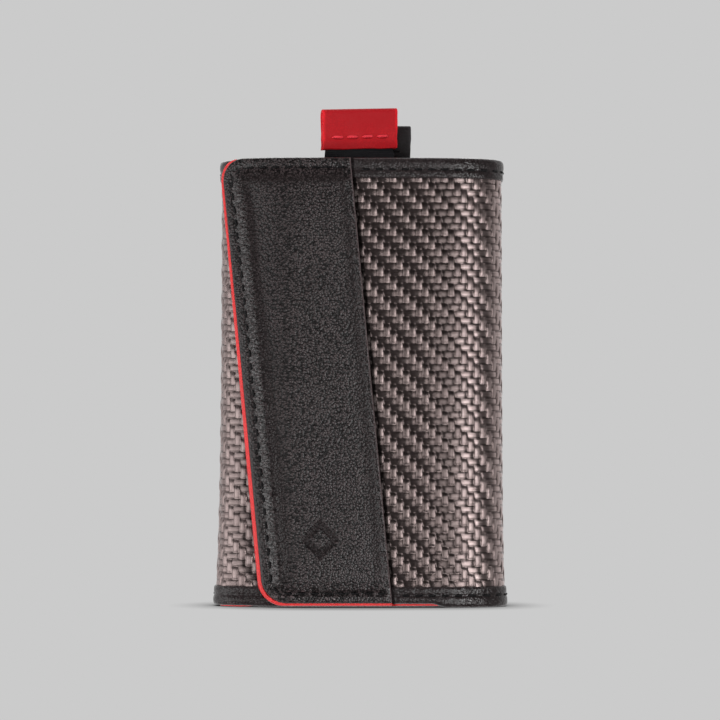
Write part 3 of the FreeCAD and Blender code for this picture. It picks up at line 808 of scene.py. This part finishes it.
def inner_lining():
    foot = 0.3
    z_lines = eased(foot, HEIGHT, 1.5, 0.3)
    z_lines = np.unique(np.concatenate([z_lines, steps(foot + 0.3, 3, 0.3), steps(HEIGHT - 3, HEIGHT - 0.3, 0.3)]))
    right = slanted(INNER_TIP_TOP_X, z_lines)
    inset = np.maximum(corner_inset(z_lines - foot, 2.5), corner_inset(HEIGHT - z_lines, 2.5))
    far = LEFT_MID - INNER_S
    shares = np.concatenate([np.linspace(0, 0.985, 46), [0.99, 0.994, 0.997, 0.999, 1.0]])
    x = -far + (right - inset + far)[:, None] * shares
    z = np.broadcast_to(z_lines[:, None], x.shape)
    side = right[:, None] - x
    distance = rounded_distance(side, np.minimum(z - foot, HEIGHT - z), 2.5)
    thick = 0.25 + 0.75 * rounding(np.clip(distance, 0, None), 0.3)
    front = 1.12 - 0.9 * (1 - smooth(distance, 0.5, 0.8)) * (side < 3)
    middle, half = (front + 1.48) / 2, (1.48 - front) / 2 * thick
    z = z - (foot - 0.05) * smooth(-x, 24, 28) * smooth(z, 6, foot)
    return lining("inner", INNER_S - x, z, middle - half, middle + half, "inner_flap_lining",
                  "inner_flap_board", "inner_flap_keepers", "left_spine_lining")


# ---- the padded leather panel on the outer flap ----
PAD_PITCH = 0.75
PAD_SCALE = 20.0          # cloth settles best at the size of a garment
PAD_FRAMES = 20
PAD_CAP = 0.22
PAD_BASE = 0.8            # foam alone lifts the skin this far before the cap


def panel_distance(side, up, down):
    return np.where(up < down, rounded_distance(side, up, TIP_TOP_R), rounded_distance(side, down, TIP_BOTTOM_R))


def blown_panel(left_at, right_at, foot, top):
    """The leather skin blown up over its foam while the seams hold it, as heights on a regular grid. The skin
    is cut a little too large, so it puckers along the stitches."""
    z_lines = steps(foot, top, PAD_PITCH)
    shares = np.linspace(0, 1, int(35 / PAD_PITCH))
    left, right = left_at(z_lines), right_at(z_lines)
    p = left[:, None] + (right - left)[:, None] * shares
    z = np.broadcast_to(z_lines[:, None], p.shape)
    held = (panel_distance(p - left[:, None], top - z, z - foot) < STITCH_INSET + 0.2)
    held = held | (right[:, None] - p < 0.8)
    points = np.stack([p, z, 0.02 * wander(np.stack([p, z], -1), 2.2, 41)], -1).reshape(-1, 3) * MM * PAD_SCALE
    mesh = bpy.data.meshes.new("panel_skin")
    mesh.from_pydata(points.tolist(), [], grid_quads(*p.shape))
    skin = bpy.data.objects.new("panel_skin", mesh)
    bpy.context.scene.collection.objects.link(skin)
    skin.vertex_groups.new(name="held").add(np.flatnonzero(held.ravel()).tolist(), 1.0, "REPLACE")
    modifier = skin.modifiers.new("cloth", "CLOTH")
    settings = modifier.settings
    settings.vertex_group_mass = "held"
    settings.quality = 6
    settings.use_pressure = True
    settings.uniform_pressure_force = 4.0
    settings.shrink_min = -0.05
    settings.bending_stiffness = 0.8
    settings.effector_weights.gravity = 0.0
    modifier.point_cache.frame_end = PAD_FRAMES
    scene = bpy.context.scene
    for frame in range(1, PAD_FRAMES + 1):
        scene.frame_set(frame)
    shape = skin.evaluated_get(bpy.context.evaluated_depsgraph_get()).to_mesh()
    found = np.zeros(len(points) * 3, np.float32)
    shape.vertices.foreach_get("co", found)
    heights = found.reshape(-1, 3)[:, 2].reshape(p.shape) / (MM * PAD_SCALE)
    bpy.data.objects.remove(skin)
    bpy.data.meshes.remove(mesh)
    scene.frame_set(1)
    return np.clip(np.abs(heights), 0, 3.0)


def sample_grid(heights, row, column):
    """Values between a grid's points, at fractional rows and columns."""
    row = np.clip(row, 0, heights.shape[0] - 1.001)
    column = np.clip(column, 0, heights.shape[1] - 1.001)
    r, c = row.astype(int), column.astype(int)
    a, b = row - r, column - c
    return ((1 - a) * ((1 - b) * heights[r, c] + b * heights[r, c + 1])
            + a * ((1 - b) * heights[r + 1, c] + b * heights[r + 1, c + 1]))
def flap_leather():
    foot, top = LEATHER_FOOT, HEIGHT
    z_lines = np.unique(np.concatenate([eased(foot, top, 0.26, 0.5), steps(foot, foot + 4, 0.2),
                                        steps(top - 4, top, 0.2)]))
    z_lines = z_lines[np.concatenate([[True], np.diff(z_lines) > 0.03])]
    z_lines = odd(z_lines)
    left = free_edge(z_lines, EDGE_SHOWING)
    right = seam_x(z_lines)
    inset = np.maximum(corner_inset(z_lines - foot, TIP_BOTTOM_R), corner_inset(top - z_lines, TIP_TOP_R))
    begin = np.array([0, 0.06, 0.16, 0.3, 0.46])
    close = np.concatenate([begin, steps(0.65, 8.0, 0.2)])
    ends = np.array([0.78, 0.6, 0.42, 0.28, 0.16, 0.07, 0.0])
    columns = []
    for share in close:
        columns.append(left + inset + share)
    start, stop = left + inset + 8.0, right - 0.95
    for share in np.linspace(0, 1, 78)[1:]:
        columns.append(start + (stop - start) * share)
    for share in ends:
        columns.append(right - share)
    p = np.stack(odd(columns), 1)
    z = np.broadcast_to(z_lines[:, None], p.shape)
    side = p - left[:, None]
    seam = right[:, None] - p
    up, down = top - z, z - foot
    distance = np.where(z > HEIGHT / 2, rounded_distance(side, up, TIP_TOP_R),
                        rounded_distance(side, down, TIP_BOTTOM_R))
    distance = np.clip(distance, 0, None)
    edge = 0.78 * rounding(distance, 0.55) * rounding(seam, 0.45)
    channel = -0.2 * bump(distance, STITCH_INSET, 0.5) * smooth(seam, 0.6, 2.2)
    left_share = smooth(np.minimum(up, down) - side, -1.5 - 0.6 * distance, 2.0 + 0.6 * distance)
    ridge = 0.5 * smooth(distance, 2.45, 4.6) * (1 - 0.8 * smooth(distance, 4.9, 7.2)) * left_share
    ridge = ridge + 0.34 * smooth(distance, 2.7, 6.0) * (1 - left_share)
    plump = 0.15 * smooth(side, 5.0, 13.0) * smooth(np.minimum(up, down), 5.0, 13.0) * smooth(seam, 0.5, 7.0)
    bevel = -0.22 * np.clip(1.0 - seam, 0, 0.6)
    flat = np.stack([p, z], -1)
    pulled = bump(distance, 3.7, 1.5) * left_share + 0.35 * bump(distance, 3.4, 0.9) * (1 - left_share)
    slanting = np.stack([p * 0.16, z + 0.35 * p], -1)
    creases = (wander(slanting, 0.8, 5) * 0.035 + wander(slanting, 1.5, 6) * 0.05) * pulled
    slow = wander(flat, 16.0, 7) * 0.015 * smooth(distance, 3, 8) + wander(flat, 5.0, 8) * 0.007
    height = edge + channel + ridge + plump + bevel + creases + slow
    blown = blown_panel(lambda v: free_edge(v, EDGE_SHOWING), seam_x, foot, top)
    share = side / (right - left)[:, None]
    settled = sample_grid(blown, (z - foot) / (top - foot) * (blown.shape[0] - 1),
                          share * (blown.shape[1] - 1))
    settled = settled + PAD_BASE * smooth(distance, 2.6, 6.0) * smooth(seam, 0.8, 4.0)
    height = height + PAD_CAP * np.tanh(settled / (2 * PAD_CAP))
    height -= mark(p, z)
    height = np.maximum(height, 0.12)
    height = np.where(seam < 0.01, 0.05, height)
    tuck = 0.35 * bump(seam, 0.0, 0.1)
    s = FRONT_S - p + tuck
    outer = place(s, z, -height)
    inner = place(s + 0.4 * (seam < 0.2), z, np.full(p.shape, -0.02))
    obj = shell("flap_leather", outer, inner, BLACK, 2, 62)
    pressed = smooth(mark(p, z), 0.02, 0.2)
    taut = np.clip(pulled * 1.1 + bump(distance, 1.2, 0.8) * 0.4 + 0.3 * bump(seam, 0.5, 0.5), 0, 1)
    # Painted shade through dull_painted_shade: a band beside the seam, the band behind the left ridge, and the pressed
    # mark.
    beside = bump(seam, 2.4, 1.4) * smooth(np.minimum(up, down), 4, 9)
    dull_painted_shade = bump(distance, 5.2 + 0.9 * left_share, 1.5) * np.maximum(left_share, smooth(z, 60, 90))
    dull_painted_shade = np.clip(0.6 * dull_painted_shade * smooth(seam, 1, 3) + 0.5 * beside + 0.6 * pressed, 0, 1)
    point_values(obj, "taut", taut)
    point_values(obj, "dull_painted_shade", dull_painted_shade)
    # Painted highlight: a thin light line along the panel's cut edge at the seam.
    point_values(obj, "cut", 0.65 * bump(seam, 0.32, 0.15))
    return fix(obj, "flap", "black_leather", "flap_leather", "flap_foam")


def mark(p, z):
    """A plain pressed lozenge near the flap's foot."""
    size = np.abs(p + 9.8) / 4.4 + np.abs(z - 16.4) / 4.7
    dent = 0.3 * np.clip((1.1 - size) / 0.17, 0, 1)
    ring = 0.26 * np.clip((0.66 - size) / 0.17, 0, 1)
    return dent - ring


def leather_stitches():
    foot, top = LEATHER_FOOT, HEIGHT
    low, high = foot + STITCH_INSET, top - STITCH_INSET
    parts = []

    def edge_p(z):
        return free_edge(z, EDGE_SHOWING)

    def path():
        """Points of the stitch line in the unrolled plane, from the seam along the top, down and back."""
        points = [(seam_x(high) - 0.9, high)]
        turn_top, turn_low = TIP_TOP_R - STITCH_INSET + 0.6, TIP_BOTTOM_R - STITCH_INSET
        for angle in np.linspace(90, 180, 8):
            a = math.radians(angle)
            cx = float(edge_p(high - turn_top)) + STITCH_INSET + turn_top
            points.append((cx + turn_top * math.cos(a), high - turn_top + turn_top * math.sin(a)))
        for z in np.linspace(high - turn_top, low + turn_low, 40)[1:-1]:
            points.append((float(edge_p(z)) + STITCH_INSET, z))
        for angle in np.linspace(180, 270, 10):
            a = math.radians(angle)
            cx = float(edge_p(low + turn_low)) + STITCH_INSET + turn_low
            points.append((cx + turn_low * math.cos(a), low + turn_low + turn_low * math.sin(a)))
        points.append((seam_x(low) - 0.9, low))
        return np.array(points)
    line = path()
    distance = np.concatenate([[0], np.cumsum(np.hypot(*np.diff(line, axis=0).T))])

    def on_line(at):
        return np.array([np.interp(at, distance, line[:, 0]), np.interp(at, distance, line[:, 1])])
    count = int(distance[-1] / STITCH_PITCH)
    pitch = distance[-1] / count
    for number in range(count):
        begin = number * pitch + (pitch - STITCH_LENGTH) / 2
        slant = rng.uniform(-0.12, 0.12)

        def point_at(along, side, lift, begin=begin, slant=slant):
            here, ahead = on_line(begin + along), on_line(begin + along + 0.05)
            direction = (ahead - here) / max(1e-9, np.hypot(*(ahead - here)))
            across = np.array([-direction[1], direction[0]])
            q = here + across * (side + slant * (along / STITCH_LENGTH - 0.5))
            return place(FRONT_S - q[0], q[1], -0.58 - lift)
        parts.append(stitch_tube(point_at))
    obj = make_mesh("stitches_leather", *join_data(parts), BLACK_THREAD)
    return fix(obj, "flap", "black_thread", "flap_stitching")


# ---- the pocket block ----
def rounded_rect(half_a, half_b, radius, pitch):
    """A closed profile with round corners, and steps along its long sides."""
    points = []
    for ca, cb, first in ((1, 1, 0), (-1, 1, 90), (-1, -1, 180), (1, -1, 270)):
        for angle in (0, 30, 60, 90):
            a = math.radians(first + angle)
            points.append((ca * (half_a - radius) + radius * math.cos(a),
                           cb * (half_b - radius) + radius * math.sin(a)))
    dense = []
    for number, point in enumerate(points):
        after = points[(number + 1) % len(points)]
        parts = max(1, int(math.dist(point, after) / pitch))
        for k in range(parts):
            dense.append([point[0] + (after[0] - point[0]) * k / parts,
                          point[1] + (after[1] - point[1]) * k / parts])
    return np.array(dense)


def block_plate(name, y_low, y_high, material, slot, *nodes, half=None, z_low=0.0, z_high=None, ripple=0.05):
    """An upright sheet of the block, with rounded edges."""
    half = half or BLOCK_HALF
    z_high = z_high or BLOCK_TOP
    thick = (y_high - y_low) / 2
    radius = min(0.3, thick * 0.9)
    rect = rounded_rect(half, thick, radius, 1.6)
    z_lines = eased(z_low, z_high, 2.0, radius)
    profiles = []
    for z in z_lines:
        shrink = radius * (1 - rounding(min(z - z_low, z_high - z), radius))
        scale = np.array([1 - shrink / half, 1 - shrink / thick])
        profiles.append(rect * scale)
    origins = np.stack([np.zeros(len(z_lines)), np.full(len(z_lines), (y_low + y_high) / 2), z_lines], 1)
    count = len(z_lines)
    points, faces = sweep_data(origins, np.tile([1.0, 0, 0], (count, 1)), np.tile([0, 1.0, 0], (count, 1)),
                               np.array(profiles))
    points[:, 1] += ripple * wander(points[:, [0, 2]], 22.0, len(name))
    obj = make_mesh(name, settle(*points.T), faces, material, 60)
    return fix(obj, "pocket_block", slot, *nodes)


def gusset(name, y_low, y_high):
    """A leather strip bent down one side of a pocket, along its floor and up the other side."""
    thick, turn = 0.95, 2.2
    half, bottom = BLOCK_HALF - thick / 2, 1.3
    points, normals = [], []
    for z in steps(BLOCK_TOP, bottom + turn, 2.5)[:-1]:
        points.append((-half, z))
        normals.append((1, 0))
    for angle in np.linspace(180, 270, 7):
        a = math.radians(angle)
        points.append((-half + turn + turn * math.cos(a), bottom + turn + turn * math.sin(a)))
        normals.append((-math.cos(a), -math.sin(a)))
    mirrored = [(-x, z) for x, z in points[::-1]], [(-a, b) for a, b in normals[::-1]]
    for x in steps(-half + turn, half - turn, 2.5)[1:-1]:
        points.append((x, bottom))
        normals.append((0, 1))
    points += mirrored[0]
    normals += mirrored[1]
    origins = np.array([(x, (y_low + y_high) / 2, z) for x, z in points])
    inward = np.array([(a, 0, b) for a, b in normals])
    rect = rounded_rect(thick / 2, (y_high - y_low) / 2 - 0.02, 0.25, 1.2)
    mesh_points, faces = sweep_data(origins, inward, np.tile([0, 1.0, 0], (len(origins), 1)), rect)
    mesh_points[:, 0] += 0.05 * wander(mesh_points[:, [1, 2]], 9.0, 3)
    obj = make_mesh(name, settle(*mesh_points.T), faces, BLACK, 60)
    return fix(obj, "pocket_block", "black_leather", name)


def seam_stitches(name, y_face, facing, inset=1.7):
    """Thread down both sides and along the floor of a pocket wall."""
    half, top = BLOCK_HALF - inset, BLOCK_TOP - 2.0
    runs = [((-half, top), (-half, inset + 0.6)), ((-half, inset), (half, inset)), ((half, inset + 0.6), (half, top))]
    parts = []
    for start, end in runs:
        start, end = np.array(start), np.array(end)
        size = math.dist(start, end)
        count = int(size / STITCH_PITCH)
        direction = (end - start) / size
        across = np.array([-direction[1], direction[0]])
        for number in range(count):
            begin = number * size / count + 0.4

            def point_at(along, side, lift, begin=begin, start=start, direction=direction, across=across):
                q = start + direction * (begin + along) + across * side
                return settle(q[0], np.float64(y_face + facing * (lift - 0.06)), q[1])
            parts.append(stitch_tube(point_at, radius=0.17))
    obj = make_mesh(name, *join_data(parts), BLACK_THREAD)
    return fix(obj, "pocket_block", "black_thread")


# ---- straps, lifting loops and grips ----
GRIP_WIDER = 0.55


def lean(points, tab):
    """The free end of a pull tab stands a little twisted and tilted."""
    x0, y0, turn, tilt = tab
    share = smooth(points[:, 2], BLOCK_TOP - 1, BLOCK_TOP + 6)
    a = np.radians(turn) * share
    dx, dy = points[:, 0] - x0, points[:, 1] - y0
    twisted = points.copy()
    twisted[:, 0] = x0 + dx * np.cos(a) - dy * np.sin(a)
    twisted[:, 1] = y0 + dx * np.sin(a) + dy * np.cos(a)
    twisted[:, 2] += dx * math.tan(math.radians(tilt)) * share
    return twisted


def strap(name, node, tab, body, ribs=0.5, rides=True):
    low, high = (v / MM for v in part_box(node))
    middle = (low + high) / 2
    half_x, half_y = (high.x - low.x) / 2, (high.y - low.y) / 2
    rect = rounded_rect(half_x, half_y, half_y * 0.8, 1.0)
    z_lines = steps(low.z, high.z, ribs / 4)
    rib = 1 - 0.3 * np.cos(math.pi * z_lines / ribs) ** 6
    profiles = rect[None] * np.stack([np.ones_like(rib), rib], 1)[:, None]
    origins = np.stack([np.full_like(z_lines, middle.x), np.full_like(z_lines, middle.y), z_lines], 1)
    count = len(z_lines)
    points, faces = sweep_data(origins, np.tile([1.0, 0, 0], (count, 1)), np.tile([0, 1.0, 0], (count, 1)), profiles)
    points = lean(points, tab)
    return fix(make_mesh(name, points, faces, RIBBON, 60), body, "strap", node)


def loop(name, node, body):
    """The turn of the strap that carries the cards."""
    low, high = (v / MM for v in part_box(node))
    half_x, mid_x, mid_y = (high.x - low.x) / 2, (low.x + high.x) / 2, (low.y + high.y) / 2
    half_y, turn, thick = (high.y - low.y) / 2 - 0.3, 0.45, 0.28
    path, normals = [(-half_y, high.z)], [(1, 0)]
    for angle in np.linspace(180, 270, 6):
        a = math.radians(angle)
        path.append((-half_y + turn + turn * math.cos(a), low.z + 0.3 + turn + turn * math.sin(a)))
        normals.append((-math.cos(a), -math.sin(a)))
    path += [(-y, z) for y, z in path[::-1]]
    normals += [(-a, b) for a, b in normals[::-1]]
    origins = np.array([(mid_x, mid_y + y, z) for y, z in path])
    inward = np.array([(0, a, b) for a, b in normals])
    rect = rounded_rect(half_x, thick, thick * 0.8, 0.5)
    ridged = np.where(np.abs(rect[:, 1]) > thick * 0.6, 1 - 0.12 * (np.arange(len(rect)) % 2), 1.0)
    rect = rect * np.stack([np.ones(len(rect)), ridged], 1)
    points, faces = sweep_data(origins, np.tile([1.0, 0, 0], (len(origins), 1)), inward, rect)
    return fix(make_mesh(name, points, faces, RIBBON, 60), body, "strap", node)


def grip(name, node, tab, body, material, slot, narrow, raised):
    """A soft leather tab folded over the strap's end."""
    low, high = (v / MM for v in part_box(node))
    high.z, low.z = high.z + raised, low.z + 1.2 * raised
    low.x, high.x = low.x - GRIP_WIDER, high.x + GRIP_WIDER
    mid_x, mid_y = (low.x + high.x) / 2, (low.y + high.y) / 2
    half_x, half_y = (high.x - low.x) / 2, (high.y - low.y) / 2
    skin = 0.42
    reach = half_y - skin
    path, normals = [], []
    fold_z = high.z - half_y
    for z in eased(low.z, fold_z, 0.5, 0.3)[:-1]:
        path.append((-reach, z))
        normals.append((-1, 0))
    for angle in np.linspace(180, 0, 13):
        a = math.radians(angle)
        path.append((reach * math.cos(a), fold_z + reach * math.sin(a)))
        normals.append((math.cos(a), math.sin(a)))
    legs = len(eased(low.z, fold_z, 0.5, 0.3)) - 1
    path += [(-y, z) for y, z in path[:legs][::-1]]
    normals += [(-a, b) for a, b in normals[:legs][::-1]]
    path, normals = np.array(path), np.array(normals)
    origins = np.stack([np.full(len(path), mid_x), mid_y + path[:, 0], path[:, 1]], 1)
    outward = np.stack([np.zeros(len(path)), normals[:, 0], normals[:, 1]], 1)
    rect = rounded_rect(half_x, skin, 0.3, 0.55)
    share = np.clip((path[:, 1] - low.z) / (high.z - low.z), 0, 1)
    ends = np.clip(np.minimum(np.arange(len(path)), np.arange(len(path))[::-1]) / 3.0, 0, 1)
    profiles = rect[None] * np.stack([1 - narrow * (1 - share), 0.55 + 0.45 * ends], 1)[:, None]
    row = bump(path[:, 1], low.z + 2.9, 0.35)
    profiles[..., 1] -= np.where(rect[:, 1] > 0, 1, 0) * 0.16 * row[:, None] * (np.abs(rect[:, 0]) < half_x - 1.2)
    points, faces = sweep_data(origins, np.tile([1.0, 0, 0], (len(path), 1)), outward, profiles)
    points[:, 0] += 0.05 * wander(points[:, 1:], 3.0, 21) * (np.abs(points[:, 0] - mid_x) > half_x * 0.7)
    points[:, 1] += 0.05 * wander(points[:, [0, 2]], 9.0, 22)
    points[:, 2] += 0.07 * wander(points[:, [0, 1]], 6.0, 23) * (points[:, 2] < low.z + 1)
    # Painted highlight: the colour lightens along the grip's cut ends.
    cut = smooth(np.abs(points[:, 0] - mid_x), half_x - 0.5, half_x - 0.3)
    # Painted shade: the colour darkens, and the gloss drops, towards the grip's lower edge below the stitch row.
    dull_painted_shade = 0.4 * (1 - smooth(points[:, 2], low.z + 0.6, low.z + 3.0))
    obj = make_mesh(name, lean(points, tab), faces, material, 62)
    point_values(obj, "cut", cut)
    point_values(obj, "dull_painted_shade", dull_painted_shade)
    return fix(obj, body, slot, node)


def grip_stitches(name, node, grip_node, tab, body, material, slot):
    low, high = (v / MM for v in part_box(grip_node))
    mid_x = (low.x + high.x) / 2
    z0, pitch, length = low.z + 4.0, 3.75, 2.9
    parts = []
    for facing, y in ((-1, low.y), (1, high.y)):
        for number in range(4):
            begin = mid_x + (number - 2) * pitch + 0.35
            slant = rng.uniform(-0.15, 0.15)

            def point_at(along, side, lift, begin=begin, y=y, facing=facing, slant=slant):
                return np.array([begin + along, y + facing * (lift + 0.1), z0 + side + slant * (along / length - 0.5)])
            points, faces = stitch_tube(point_at, radius=0.36, length=length)
            parts.append((lean(points, tab), faces))
    obj = make_mesh(name, *join_data(parts), material)
    return fix(obj, body, slot, node)


# ---- build the wallet ----
def build_wrap():
    seam_p = SEAM_TOP_X
    weave_sheet("back_right", 0.0, RIGHT_MID, "back_weave", "right_spine_weave", "back_board")
    weave_sheet("front", RIGHT_MID, FRONT_S - seam_p + 3.0, "flap_weave")
    weave_sheet("back_left", LEFT_MID, 0.0, "left_spine_weave")
    weave_sheet("inner", INNER_S - INNER_TIP_TOP_X - TAPER + INNER_EDGE_SHOWING, LEFT_MID, "inner_flap_weave")
    seam_s = FRONT_S - seam_p
    for end in ("top", "bottom"):
        node = f"_{end}_binding"
        seam_end = seam_s + 1.8 - TAPER * (end == "bottom")
        inner_end = INNER_S - INNER_TIP_TOP_X + INNER_EDGE_SHOWING - TAPER * (end == "bottom")
        raised = 1.0 if end == "bottom" else 0.0
        binding("back_right", end, 0.0, RIGHT_MID, 31, "back" + node, "right_spine" + node)
        binding("front", end, RIGHT_MID, seam_end, 32, "flap" + node, lift=0.9 * raised)
        binding("back_left", end, LEFT_MID, 0.0, 33, "left_spine" + node, lift=0.3 * raised)
        binding("inner", end, inner_end, LEFT_MID, 34, "inner_flap" + node, lift=0.3 * raised)
    binding_stitches("back_right", 0.0, RIGHT_MID, "back_stitching", "right_spine_stitching")
    binding_stitches("front", RIGHT_MID, seam_s, "flap_stitching", low_end=seam_s - TAPER)
    binding_stitches("back_left", LEFT_MID, 0.0, "left_spine_stitching")
    side_lining("back_right", CX + 1.6, RIGHT_MID, "back_corner_linings")
    side_lining("back_left", LEFT_MID, -CX - 1.6)
    flap_lining()
    inner_lining()
    flap_leather()
    leather_stitches()


def build_block():
    def span(node):
        return cad(node, 0, 1), cad(node, 1, 1)
    block_plate("front_pocket_panel", *span("front_pocket_panel"), BLACK, "black_leather", "front_pocket_panel")
    block_plate("pocket_divider", *span("pocket_divider"), BLACK, "black_leather", "pocket_divider")
    block_plate("rear_wall", *span("back_board"), BLACK, "board", "back_board", half=CX - 0.5)
    inside = BLOCK_HALF - 0.95
    for node in ("front_shield", "rear_shield"):
        block_plate(node, *span(node), SHIELD, "shield_cloth", node, half=inside, z_low=2.5, ripple=0.0)
    gusset("front_pocket_gusset", *span("front_pocket_gusset"))
    gusset("rear_pocket_gusset", *span("rear_pocket_gusset"))
    seam_stitches("stitches_front_panel", cad("front_pocket_panel", 0, 1), -1)


def build_tabs():
    looks = {"red": (RED_GRIP, "red_leather", RED_THREAD, "red_thread"),
             "black": (BLACK_GRIP, "black_leather", BLACK_THREAD, "black_thread")}
    for name, colour, turn, tilt, narrow, raised in (("front", "red", 16.0, 3.4, 0.02, 0.9),
                                                     ("rear", "black", -5.0, -1.0, 0.02, 1.7)):
        leather_look, leather_slot, thread_look, thread_slot = looks[colour]
        grip_node = colour + "_grip"
        low, high = (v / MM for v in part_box(grip_node))
        tab = ((low.x + high.x) / 2, (low.y + high.y) / 2, turn, tilt)
        body = name + "_tab"
        strap(name + "_pull_strap", name + "_pull_strap", tab, body)
        strap(name + "_strap_anchor", name + "_strap_anchor", tab, "pocket_block")
        loop(name + "_lift_loop", name + "_lift_loop", name + "_lift")
        grip(grip_node, grip_node, tab, body, leather_look, leather_slot, narrow, raised)
        grip_stitches(colour + "_grip_stitches", colour + "_grip_stitching", grip_node, tab, body,
                      thread_look, thread_slot)


# ---- floor, light and camera ----
def build_floor():
    mesh = bpy.data.meshes.new("floor")
    reach = 3.0
    corners = [(-reach, -reach, 0), (reach, -reach, 0), (reach, reach, 0), (-reach, reach, 0)]
    mesh.from_pydata(corners, [], [(0, 1, 2, 3)])
    floor = bpy.data.objects.new("floor", mesh)
    bpy.context.scene.collection.objects.link(floor)
    look = Look("floor")
    grey = 0.597
    # Painted shadow: the floor's glow darkens under and around the wallet, by ambient occlusion over 12 mm.
    painted_contact_shadow = look.node("ShaderNodeAmbientOcclusion", {"Distance": 0.012}, samples=16).outputs["AO"]
    dimmed = look.math("POWER", painted_contact_shadow, 1.4)
    value = look.math("MULTIPLY", dimmed, grey)
    glow = look.node("ShaderNodeEmission", {"Color": (1, 1, 1, 1), "Strength": value}).outputs[0]
    look.tree.links.new(glow, look.tree.nodes["Material Output"].inputs["Surface"])
    mesh.materials.append(look.material)
    floor.visible_glossy = False
    floor.visible_diffuse = False
    floor.visible_shadow = False


def area_light(name, where, aim, size, radiance, glossy=True):
    """A soft light with an even brightness, never seen by the camera itself."""
    data = bpy.data.lights.new(name, "AREA")
    data.shape = "RECTANGLE"
    data.size, data.size_y = size
    data.energy = radiance * math.pi * size[0] * size[1]
    light = bpy.data.objects.new(name, data)
    bpy.context.scene.collection.objects.link(light)
    light.location = where
    light.rotation_euler = (Vector(aim) - Vector(where)).to_track_quat("-Z", "Y").to_euler()
    light.visible_camera = False
    light.visible_glossy = glossy
    return light


def far_light(name, azimuth, elevation, spread_deg, rise_deg, radiance, distance=1.2):
    """A soft light given by the direction it comes from, seen from the front, and its size in degrees."""
    a, e = math.radians(azimuth), math.radians(elevation)
    way = Vector((math.sin(a) * math.cos(e), -math.cos(a) * math.cos(e), math.sin(e)))
    size = [2 * distance * math.tan(math.radians(v) / 2) for v in (spread_deg, rise_deg)]
    aim = Vector((0, 0, HEIGHT * MM / 2))
    return area_light(name, aim + way * distance, aim, size, radiance)


def build_world():
    world = bpy.data.worlds.new("studio")
    bpy.context.scene.world = world
    world.use_nodes = True
    nodes, links = world.node_tree.nodes, world.node_tree.links
    seen = nodes.new("ShaderNodeLightPath").outputs["Is Camera Ray"]
    split = nodes.new("ShaderNodeSeparateXYZ")
    links.new(nodes.new("ShaderNodeTexCoord").outputs["Generated"], split.inputs[0])
    ramp = nodes.new("ShaderNodeMapRange")
    links.new(split.outputs["Y"], ramp.inputs["Value"])
    for label, value in (("From Min", -0.6), ("From Max", 0.2), ("To Min", 0.03), ("To Max", 1.0)):
        ramp.inputs[label].default_value = value
    mix = nodes.new("ShaderNodeMix")
    links.new(seen, mix.inputs[0])
    links.new(ramp.outputs[0], mix.inputs[2])
    mix.inputs[3].default_value = 0.597
    links.new(mix.outputs[0], nodes["Background"].inputs["Color"])


def build_light():
    build_world()
    far_light("soft_right", 21, -9, 20, 28, 5.4)
    far_light("soft_left", -52, -9, 56, 28, 2.2)
    far_light("behind", 178, 25, 30, 30, 2.0)
    area_light("fill", (0, -0.8, 0.3), (0, 0, 0.05), (0.7, 0.7), 3.4, glossy=False)
    bpy.context.scene.view_settings.view_transform = "Standard"


def build_camera():
    distance, height, aim_up, focal = 0.55, 0.035, 2.52, 114.8
    data = bpy.data.cameras.new("camera")
    data.lens = focal
    data.sensor_width = 36.0
    data.clip_start = 0.01
    camera = bpy.data.objects.new("camera", data)
    bpy.context.scene.collection.objects.link(camera)
    camera.location = (-0.0002, FRONT_Y * MM - distance, height)
    camera.rotation_euler = (math.radians(90 + aim_up), 0, 0)
    bpy.context.scene.camera = camera


build_wrap()
build_block()
build_tabs()
build_floor()
build_light()
build_camera()

bpy.context.view_layer.update()
